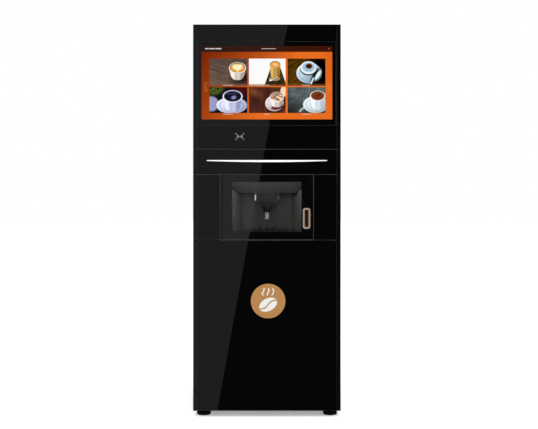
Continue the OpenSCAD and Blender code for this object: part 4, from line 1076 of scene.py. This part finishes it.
class COFFEE_OT_trim_bar(bpy.types.Operator):
    """Builds the bowed trim bar over the serving row"""

    bl_idname = "coffee.trim_bar"
    bl_label = "Trim bar"

    def execute(self, context):
        settings = context.scene.coffee_trim
        low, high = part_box("trim_bar")
        half = (high.x - low.x) / 2
        steps = 121
        lean = np.linspace(-1, 1, steps)
        height = settings.bar_end_h + (high.z - low.z - settings.bar_end_h) * (1 - lean ** 2)
        round_share = np.linspace(0, np.pi, 17)
        section_y = high.y - (high.y - low.y) * np.sin(round_share) ** 0.45
        section_z = (1 - np.cos(round_share)) / 2
        taper = np.clip((1 - np.abs(lean)) / 0.02, 0.0, 1.0) ** 0.5
        x = low.x + half * (1 + lean)
        z = high.z - height[:, None] * section_z[None, :]
        middle = high.z - height / 2
        z = middle[:, None] + (z - middle[:, None]) * taper[:, None]
        y = high.y - (high.y - section_y)[None, :] * np.maximum(taper, 0.02)[:, None]
        points = np.stack([np.broadcast_to(x[:, None], z.shape), y, z], axis=-1)
        faces = grid_faces(steps, len(section_y), close_columns=True)
        make_piece("bowed_trim_bar", points, faces, "upper_door", "polished_trim",
                   replaces=["trim_bar"])
        return {"FINISHED"}


class COFFEE_OT_door_pull(bpy.types.Operator):
    """Builds the copper ring pull of the serving door, with its finger recess"""

    bl_idname = "coffee.door_pull"
    bl_label = "Door pull"

    def execute(self, context):
        settings = context.scene.coffee_trim
        low, high, middle = middle_of("serving_door_pull")
        w = high.x - low.x
        h = high.z - low.z
        rim = settings.pull_rim
        centre = (middle[0], middle[2])
        corner_r = 0.0102
        path, out = round_rect(w, h, corner_r, 12)
        glass = front_y()
        turn = np.linspace(0, np.pi, 13)
        crown_out = -rim / 2 + rim / 2 * np.cos(turn)
        crown_y = glass - (glass - low.y) * np.sin(turn) ** 0.6
        recess = 0.0012
        foot = high.y - 0.001
        profile = np.concatenate([
            np.stack([crown_out, crown_y], axis=-1),
            [[-rim, foot], [-rim + recess, foot], [-rim + recess, glass]],
        ])
        points, faces = ring_on_front(path, out, profile, centre)
        make_piece("pull_ring", points, faces, "serving_door", "copper", replaces=["serving_door_pull"])
        inner_w = w - 2 * rim + 0.0004
        inner_h = h - 2 * rim + 0.0004
        path, _ = round_rect(inner_w, inner_h, 0.002, 8)
        shapes = [(0.0001, high.y - 0.0016), (0.96, high.y - 0.0018), (1.0, high.y - 0.0026),
                  (1.0, high.y), (0.0001, high.y)]
        points = np.stack([on_front(path * k, y, centre) for k, y in shapes])
        faces = grid_faces(len(shapes), len(path), close_columns=True)
        make_piece("pull_recess", points, faces, "serving_door", "dark_plastic")
        return {"FINISHED"}


class COFFEE_OT_badge(bpy.types.Operator):
    """Builds the round bronze badge with a white coffee bean and steam as its emblem"""

    bl_idname = "coffee.badge"
    bl_label = "Badge"

    def execute(self, context):
        settings = context.scene.coffee_trim
        colours = context.scene.coffee_finishes
        low, high, (cx, _, cz) = middle_of("door_badge")
        radius = (high.x - low.x) / 2
        turns = 240
        inner = np.linspace(0, 0.955, 84)
        edge = np.array([0.965, 0.975, 0.99, 1.0, 1.0, 0.0])
        share = np.concatenate([inner, edge])
        face = low.y + settings.emblem_rise
        depth = np.concatenate([np.full(len(inner), face),
                                [face - 0.0003, low.y, low.y + 0.0002, low.y + 0.0009, high.y, high.y]])
        angle = full_turn(turns)
        a = share[:, None] * np.cos(angle)
        b = share[:, None] * np.sin(angle)
        mask = self.emblem(a, b)
        mask[len(inner):] = 0
        y = depth[:, None] - settings.emblem_rise * mask
        points = np.stack([cx + radius * a, y, cz + radius * b], axis=-1)
        faces = grid_faces(len(share), turns, close_columns=True)
        material = badge_finish("badge_bronze", tuple(colours.bronze), (0.80, 0.79, 0.76), "enamel")
        piece = make_piece("round_badge", points, faces, "lower_door", "badge_copper", material,
                           replaces=["door_badge"])
        mesh = piece.data
        place = np.empty(len(mesh.vertices) * 3)
        mesh.vertices.foreach_get("co", place)
        place = place.reshape(-1, 3)
        da = (place[:, 0] - cx) / radius
        db = (place[:, 2] - cz) / radius
        enamel = self.emblem(da, db) * (np.hypot(da, db) < 0.95) * (place[:, 1] < face + 0.0005)
        attribute = mesh.attributes.new("enamel", "FLOAT", "POINT")
        attribute.data.foreach_set("value", enamel.astype(np.float32))
        heading = np.arctan2(db, da)
        ring = np.stack([np.hypot(da, db) * 160, np.cos(heading) * 0.9, np.sin(heading) * 0.9], axis=-1)
        attribute = mesh.attributes.new("ring_place", "FLOAT_VECTOR", "POINT")
        attribute.data.foreach_set("vector", ring.astype(np.float32).ravel())
        return {"FINISHED"}

    def emblem(self, a, b):
        """1 on a tilted oval bean less a wavy slit, and on three wisps of steam above it.

        A wisp is where a lies within a half width of a sine of b, between two heights."""
        turn = math.radians(28)
        a = a / 1.38
        b = b / 1.38 + 0.03
        p = a * math.cos(turn) + (b + 0.12) * math.sin(turn)
        q = (b + 0.12) * math.cos(turn) - a * math.sin(turn)
        bean = share_inside(np.hypot(p / 0.40, q / 0.26) - 1, 0.05)
        slit = share_inside(np.abs(q - 0.055 * np.sin(p * 8)) - 0.028, 0.02)
        shape = bean * (1 - slit)
        for offset in (-0.2, 0.0, 0.2):
            line = np.abs(a - offset - 0.035 * np.sin(b * 16 + offset * 4)) - 0.026
            ends = np.abs(b - 0.42) - 0.15
            shape = np.maximum(shape, share_inside(np.maximum(line, ends), 0.02))
        return shape


class COFFEE_OT_reader_mark(bpy.types.Operator):
    """Prints a small pay-here mark on the glass over the card reader"""

    bl_idname = "coffee.reader_mark"
    bl_label = "Reader mark"

    def execute(self, context):
        _, _, (x, _, z) = middle_of("payment_reader")
        y = front_y() - 0.00012
        print_t = 0.0001
        half_w = 0.0190
        half_h = 0.0142
        leg = 0.006
        parts = []
        for sx in (-1, 1):
            for sz in (-1, 1):
                corner = [(x + sx * (half_w - leg), z + sz * half_h),
                          (x + sx * half_w, z + sz * half_h),
                          (x + sx * half_w, z + sz * (half_h - leg))]
                parts.append(ribbon(corner, 0.0018, y, print_t))
        bar = np.array([(x, z - 0.0018), (x, z), (x, z + 0.0018)])
        parts.append(ribbon(bar, 0.0034, y, print_t))
        for side in (0, 180):
            for radius in (0.0052, 0.0089, 0.0126):
                angle = np.radians(side + np.linspace(-44, 44, 14))
                arc = np.stack([x + radius * np.cos(angle), z + radius * np.sin(angle)], axis=-1)
                parts.append(ribbon(arc, 0.0017, y, print_t))
        points, faces = joined(parts)
        material = solid_finish("mark_print", (0.26, 0.26, 0.265), (0.5, 0.6), 800, contrast=0.05)
        make_piece("reader_mark", points, faces, "upper_door", "border_black", material)
        return {"FINISHED"}


# radius of each spout as a share of its half of the CAD piece's depth
SPOUT_SHARE = 0.84
SPOUT_TURNS = 40


class COFFEE_OT_drink_spouts(bpy.types.Operator):
    """Turns the two drink spouts, each with a collar and a rounded, open lip"""

    bl_idname = "coffee.drink_spouts"
    bl_label = "Drink spouts"

    def execute(self, context):
        low, high, middle = middle_of("drink_spouts")
        reach = (high.y - low.y) / 2
        radius = reach * SPOUT_SHARE
        height = high.z - low.z
        bore = radius - 0.0011
        turn = np.linspace(np.pi, 2 * np.pi, 7)
        lip_r = 0.0006
        lip_out = (radius + bore) / 2 + (radius - bore) / 2 * np.cos(turn - np.pi)
        lip = np.stack([lip_out, lip_r + lip_r * np.sin(turn)], axis=-1)
        outside = [[radius, 0.002], [radius, height * 0.62], [radius - 0.0004, height * 0.64],
                   [radius - 0.0004, height * 0.70], [radius, height * 0.72], [radius, height]]
        profile = np.concatenate([[[bore, height], [bore, 0.002]], lip, outside])
        parts = []
        for x in (low.x + reach, high.x - reach):
            turned, _ = lathe(profile, (x, middle[1], low.z), SPOUT_TURNS)
            parts.append((turned, grid_faces(len(profile), SPOUT_TURNS, True, True)))
        points, faces = joined(parts)
        make_piece("spout_pair", points, faces, "outlet", "chrome", replaces=["drink_spouts"])
        return {"FINISHED"}


# the hood's low edge and the bend of its ends: depth behind the niche's front, heights and half widths
HOOD_EDGE_BACK = 0.130
HOOD_EDGE_RISE = 0.0882
HOOD_BEND_BACK = 0.058
HOOD_SLOPE = 0.444
HOOD_GAP_HALF_W = 0.063
HOOD_LOW_HALF_W = 0.1365
HOOD_BEND_HALF_W = 0.1570
# radius of the dark beads that paint the shadow line under the hood
HOOD_BEAD_R = 0.0020
# start and end (x from the middle, z from the low end) and width of each pale strip, a painted
# highlight
OUTLET_HIGHLIGHTS = (
    (-0.0540, 0.056, -0.0540, 0.082, 0.0055),
    (0.0535, 0.062, 0.0535, 0.076, 0.0008),
)


class COFFEE_OT_niche_details(bpy.types.Operator):
    """Draws a painted shadow line under the niche's hood and painted highlight strips on the outlet
    head
    """

    bl_idname = "coffee.niche_details"
    bl_label = "Niche details"

    def execute(self, context):
        self.hood_shadow_line()
        self.outlet_highlights()
        return {"FINISHED"}

    def hood_shadow_line(self):
        """Thin dark beads along the hood's low edge and up its two slanted ends, in the feet's rubber
        finish: a painted shadow line where shade falls under the hood's edge.
        """
        low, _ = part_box("niche_liner")
        outlet_low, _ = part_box("outlet_head")
        edge_y = low.y + HOOD_EDGE_BACK
        edge_z = outlet_low.z + HOOD_EDGE_RISE
        bend_y = low.y + HOOD_BEND_BACK
        bend_z = edge_z + (edge_y - bend_y) * HOOD_SLOPE
        parts = []
        for side in (-1, 1):
            corner = (side * HOOD_LOW_HALF_W, edge_y, edge_z)
            parts.append(bead((side * HOOD_GAP_HALF_W, edge_y, edge_z), corner, HOOD_BEAD_R))
            parts.append(bead(corner, (side * HOOD_BEND_HALF_W, bend_y, bend_z), HOOD_BEAD_R))
        points, faces = joined(parts)
        # painted shadow: dark beads where only the shade under the hood's edge falls
        make_piece("hood_shadow_line", points, faces, "cabinet", "foot_rubber")

    def outlet_highlights(self):
        """Pale chrome strips on the outlet head's front, the wide one at its left end: painted
        highlights where its rounded edges catch the light.
        """
        low, _, (middle, _, _) = middle_of("outlet_head")
        parts = []
        for x0, z0, x1, z1, width in OUTLET_HIGHLIGHTS:
            path = np.stack([np.linspace(middle + x0, middle + x1, 8),
                             np.linspace(low.z + z0, low.z + z1, 8)], axis=-1)
            parts.append(ribbon(path, width, low.y - 0.0003, 0.0008))
        points, faces = joined(parts)
        # painted highlights: pale chrome strips where the outlet head's edges glint
        make_piece("outlet_highlights", points, faces, "outlet", "chrome")


RIB_COUNT = 4
RIB_PITCH = 0.0026
RIB_DEPTH = 0.0009
NUT_R = 0.0078
NUT_LOW = 0.0180
NUT_HIGH = 0.0254
NUT_BEVEL = 0.0008
STUD_R = 0.0044
THREAD_PITCH = 0.00175
THREAD_DEPTH = 0.0004


class COFFEE_OT_levelling_feet(bpy.types.Operator):
    """Turns the four levelling feet: ribbed pad, cone, hexagon nut and threaded stud"""

    bl_idname = "coffee.levelling_feet"
    bl_label = "Levelling feet"

    def execute(self, context):
        for name in sorted(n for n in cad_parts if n.startswith("foot_")):
            low, high, middle = middle_of(name)
            centre = (middle[0], middle[1], 0.0)
            radius = (high.x - low.x) / 2
            ribs = []
            for k in range(RIB_COUNT):
                z = 0.002 + RIB_PITCH * k
                ribs += [[radius, z], [radius, z + 0.0014], [radius - RIB_DEPTH, z + 0.0018],
                         [radius - RIB_DEPTH, z + 0.0023]]
            pad = [[0, 0], [radius - 0.0015, 0], [radius, 0.0012]] + ribs
            pad += [[radius - 0.0012, 0.0128], [radius - 0.004, 0.0140], [0.013, 0.0186], [0, 0.0186]]
            parts = [lathe(pad, centre, 64)]
            nut = [[0, NUT_LOW], [NUT_R - NUT_BEVEL, NUT_LOW], [NUT_R, NUT_LOW + NUT_BEVEL],
                   [NUT_R, NUT_HIGH - NUT_BEVEL], [NUT_R - NUT_BEVEL, NUT_HIGH], [0, NUT_HIGH]]
            parts.append(lathe(nut, centre, 48, facets=6))
            parts.append(self.stud(centre, high.z))
            points, faces = joined(parts)
            make_piece("levelling_" + name, points, faces, name, "foot_rubber", replaces=[name])
        return {"FINISHED"}

    def stud(self, centre, top):
        """Threaded rod: r = core + ridge * (0.5 + 0.5 cos(2 pi z / pitch - a))."""
        rows = 120
        turns = 24
        z = np.linspace(NUT_LOW, top - 0.0005, rows)
        angle = full_turn(turns)
        ridge = THREAD_DEPTH * (0.5 + 0.5 * np.cos(2 * np.pi * z[:, None] / THREAD_PITCH - angle))
        radius = STUD_R + ridge
        x = centre[0] + radius * np.cos(angle)
        y = centre[1] + radius * np.sin(angle)
        tube = np.stack([x, y, np.broadcast_to(z[:, None], x.shape)], axis=-1)
        low_pole = np.broadcast_to([centre[0], centre[1], NUT_LOW], (1, turns, 3))
        high_pole = np.broadcast_to([centre[0], centre[1], top], (1, turns, 3))
        points = np.concatenate([low_pole, tube, high_pole])
        return points, grid_faces(rows + 2, turns, close_columns=True)


# name, place, target, size and radiance of each soft light
SOFT_PANELS = (
    ("left_panel", (-3.2, -2.6, 2.2), (0, -0.3, 1.0), (1.4, 2.6), 2.2),
    ("right_panel", (3.2, -2.4, 2.0), (0, -0.3, 1.0), (1.0, 2.4), 2.0),
    ("top_panel", (0, -1.2, 4.4), (0, -0.2, 0.8), (3.0, 1.6), 2.6),
    ("rear_panel_light", (1.8, 3.4, 2.6), (0, 0.3, 0.9), (2.0, 2.0), 2.2),
)
NICHE_LIGHT_BACK = 0.07
NICHE_LIGHT_DROP = 0.06
NICHE_LIGHT_SIZE = (0.30, 0.10)
CAMERA_X = 0.0095
MIRRORED_AIR = 0.02
# the slanted line on the glass, as (x, z) of its two ends
SLANT_TOP = (0.094, 1.775)
SLANT_BOTTOM = (-0.224, 0.032)
CARD_GAP = 2.0
CARD_W = 1.0


class COFFEE_OT_studio(bpy.types.Operator):
    """Sets up the pale floor, the soft lights, the slanted card and the camera"""

    bl_idname = "coffee.studio"
    bl_label = "Studio"

    def execute(self, context):
        settings = context.scene.coffee_studio
        context.scene.view_settings.view_transform = "Standard"
        context.scene.view_settings.look = "None"
        self.floor(settings)
        self.world(context.scene, settings)
        self.lights(settings)
        self.camera(context.scene, settings)
        return {"FINISHED"}

    def floor(self, settings):
        """Square of even tiles at the height of the feet's soles."""
        half = settings.floor_size / 2
        line = np.linspace(-half, half, 9)
        x, y = np.meshgrid(line, line, indexing="ij")
        points = np.stack([x, y, np.zeros_like(x)], axis=-1)
        mesh = bpy.data.meshes.new("studio_floor")
        mesh.from_pydata(points.reshape(-1, 3).tolist(), [], grid_faces(9, 9).tolist())
        material, tree, output = new_material("floor_white")
        shader = add_node(tree, "BsdfPrincipled", Emission_Strength=settings.floor_glow,
                          Roughness=0.9, Specular_IOR_Level=0.0)
        cloud = spread(tree, grain(tree, 1.5), 0, 1)
        tone = two_colours(tree, cloud, (0.90, 0.90, 0.90), (0.92, 0.92, 0.92))
        tree.links.new(tone, shader.inputs["Base Color"])
        tree.links.new(tone, shader.inputs["Emission Color"])
        tree.links.new(shader.outputs[0], output.inputs["Surface"])
        mesh.materials.append(material)
        floor = bpy.data.objects.new("studio_floor", mesh)
        bpy.context.scene.collection.objects.link(floor)
        floor.visible_glossy = False

    def world(self, scene, settings):
        """White for the eye, even light for matt surfaces, and dim in reflections."""
        world = bpy.data.worlds.new("studio_air")
        world.use_nodes = True
        tree = world.node_tree
        tree.nodes.clear()
        path = add_node(tree, "LightPath")
        seen, matt, mirrored = [
            add_node(tree, "Background", Strength=strength, Color=(1, 1, 1, 1)).outputs[0]
            for strength in (1.0, settings.ambient, MIRRORED_AIR)]
        unseen = two_shaders(tree, path.outputs["Is Glossy Ray"], matt, mirrored)
        mixed = two_shaders(tree, path.outputs["Is Camera Ray"], unseen, seen)
        output = tree.nodes.new("ShaderNodeOutputWorld")
        tree.links.new(mixed, output.inputs["Surface"])
        scene.world = world

    def panel_light(self, name, place, target, size, radiance, tilt=0.0):
        """Rectangular light at place, facing target, of the given even radiance."""
        data = bpy.data.lights.new(name, "AREA")
        data.shape = "RECTANGLE"
        data.size = size[0]
        data.size_y = size[1]
        data.energy = radiance * math.pi * size[0] * size[1]
        light = bpy.data.objects.new(name, data)
        light.location = place
        aim = (Vector(target) - Vector(place)).to_track_quat("-Z", "Y").to_euler()
        light.rotation_euler = aim
        if tilt:
            light.rotation_euler.rotate_axis("Z", math.radians(tilt))
        light.visible_camera = False
        bpy.context.scene.collection.objects.link(light)
        return light

    def lights(self, settings):
        """Soft panels round the machine, and the slanted card that the front glass mirrors."""
        for name, place, target, size, radiance in SOFT_PANELS:
            self.panel_light(name, place, target, size, radiance)
        low, high, (x, _, _) = middle_of("niche_liner")
        y = low.y + NICHE_LIGHT_BACK
        self.panel_light("niche_light", (x, y, high.z - NICHE_LIGHT_DROP), (x, y, low.z),
                         NICHE_LIGHT_SIZE, settings.niche_glow)
        self.card(settings)

    def card(self, settings):
        """The card's right edge, mirrored in the glass, falls on a slanted line.

        A glass point p is mirrored to p + (p - c) * gap / distance, c being the camera."""
        grow = CARD_GAP / settings.camera_distance
        eye = np.array([CAMERA_X, settings.camera_height])
        top = np.array(SLANT_TOP)
        bottom = np.array(SLANT_BOTTOM)
        far_top = top + (top - eye) * grow
        far_bottom = bottom + (bottom - eye) * grow
        run = far_top - far_bottom
        length = float(np.linalg.norm(run))
        along = run / length
        left = np.array([-along[1], along[0]])
        middle = (far_top + far_bottom) / 2 + left * CARD_W / 2
        y = front_y() - CARD_GAP
        tilt = -math.degrees(math.atan2(run[0], run[1]))
        self.panel_light("slanted_card", (middle[0], y, middle[1]), (middle[0], 0, middle[1]),
                         (CARD_W, length * 1.3), settings.card_glow, tilt=tilt)

    def camera(self, scene, settings):
        """Level camera in front of the glass, shifted down to take in the floor."""
        data = bpy.data.cameras.new("front_camera")
        data.sensor_width = 36.0
        data.lens = settings.lens
        data.shift_y = settings.shift
        data.clip_end = 100.0
        camera = bpy.data.objects.new("front_camera", data)
        camera.location = (CAMERA_X, front_y() - settings.camera_distance, settings.camera_height)
        camera.rotation_euler = (math.radians(90), 0, 0)
        scene.collection.objects.link(camera)
        scene.camera = camera


class COFFEE_PT_looks(bpy.types.Panel):
    """Lists the steps that build the machine's looks"""

    bl_idname = "COFFEE_PT_looks"
    bl_label = "Coffee machine"
    bl_space_type = "VIEW_3D"
    bl_region_type = "UI"
    bl_category = "Coffee"

    def draw(self, context):
        for operator in OPERATORS:
            self.layout.operator(operator.bl_idname)


GROUPS = {
    "coffee_screen": ScreenSettings,
    "coffee_finishes": FinishSettings,
    "coffee_trim": TrimSettings,
    "coffee_studio": StudioSettings,
}
OPERATORS = (
    COFFEE_OT_cad_finishes,
    COFFEE_OT_display,
    COFFEE_OT_seam_beads,
    COFFEE_OT_trim_bar,
    COFFEE_OT_door_pull,
    COFFEE_OT_badge,
    COFFEE_OT_reader_mark,
    COFFEE_OT_drink_spouts,
    COFFEE_OT_niche_details,
    COFFEE_OT_levelling_feet,
    COFFEE_OT_studio,
)


def register():
    """Registers the settings, the operators and the panel."""
    for name, group in GROUPS.items():
        bpy.utils.register_class(group)
        setattr(bpy.types.Scene, name, PointerProperty(type=group))
    for operator in OPERATORS:
        bpy.utils.register_class(operator)
    bpy.utils.register_class(COFFEE_PT_looks)


def unregister():
    """Takes the panel, the operators and the settings away again."""
    bpy.utils.unregister_class(COFFEE_PT_looks)
    for operator in reversed(OPERATORS):
        bpy.utils.unregister_class(operator)
    for name, group in GROUPS.items():
        delattr(bpy.types.Scene, name)
        bpy.utils.unregister_class(group)


def main():
    """Builds everything in order."""
    register()
    for operator in OPERATORS:
        group, step = operator.bl_idname.split(".")
        getattr(getattr(bpy.ops, group), step)()


if __name__ == "__main__":
    main()
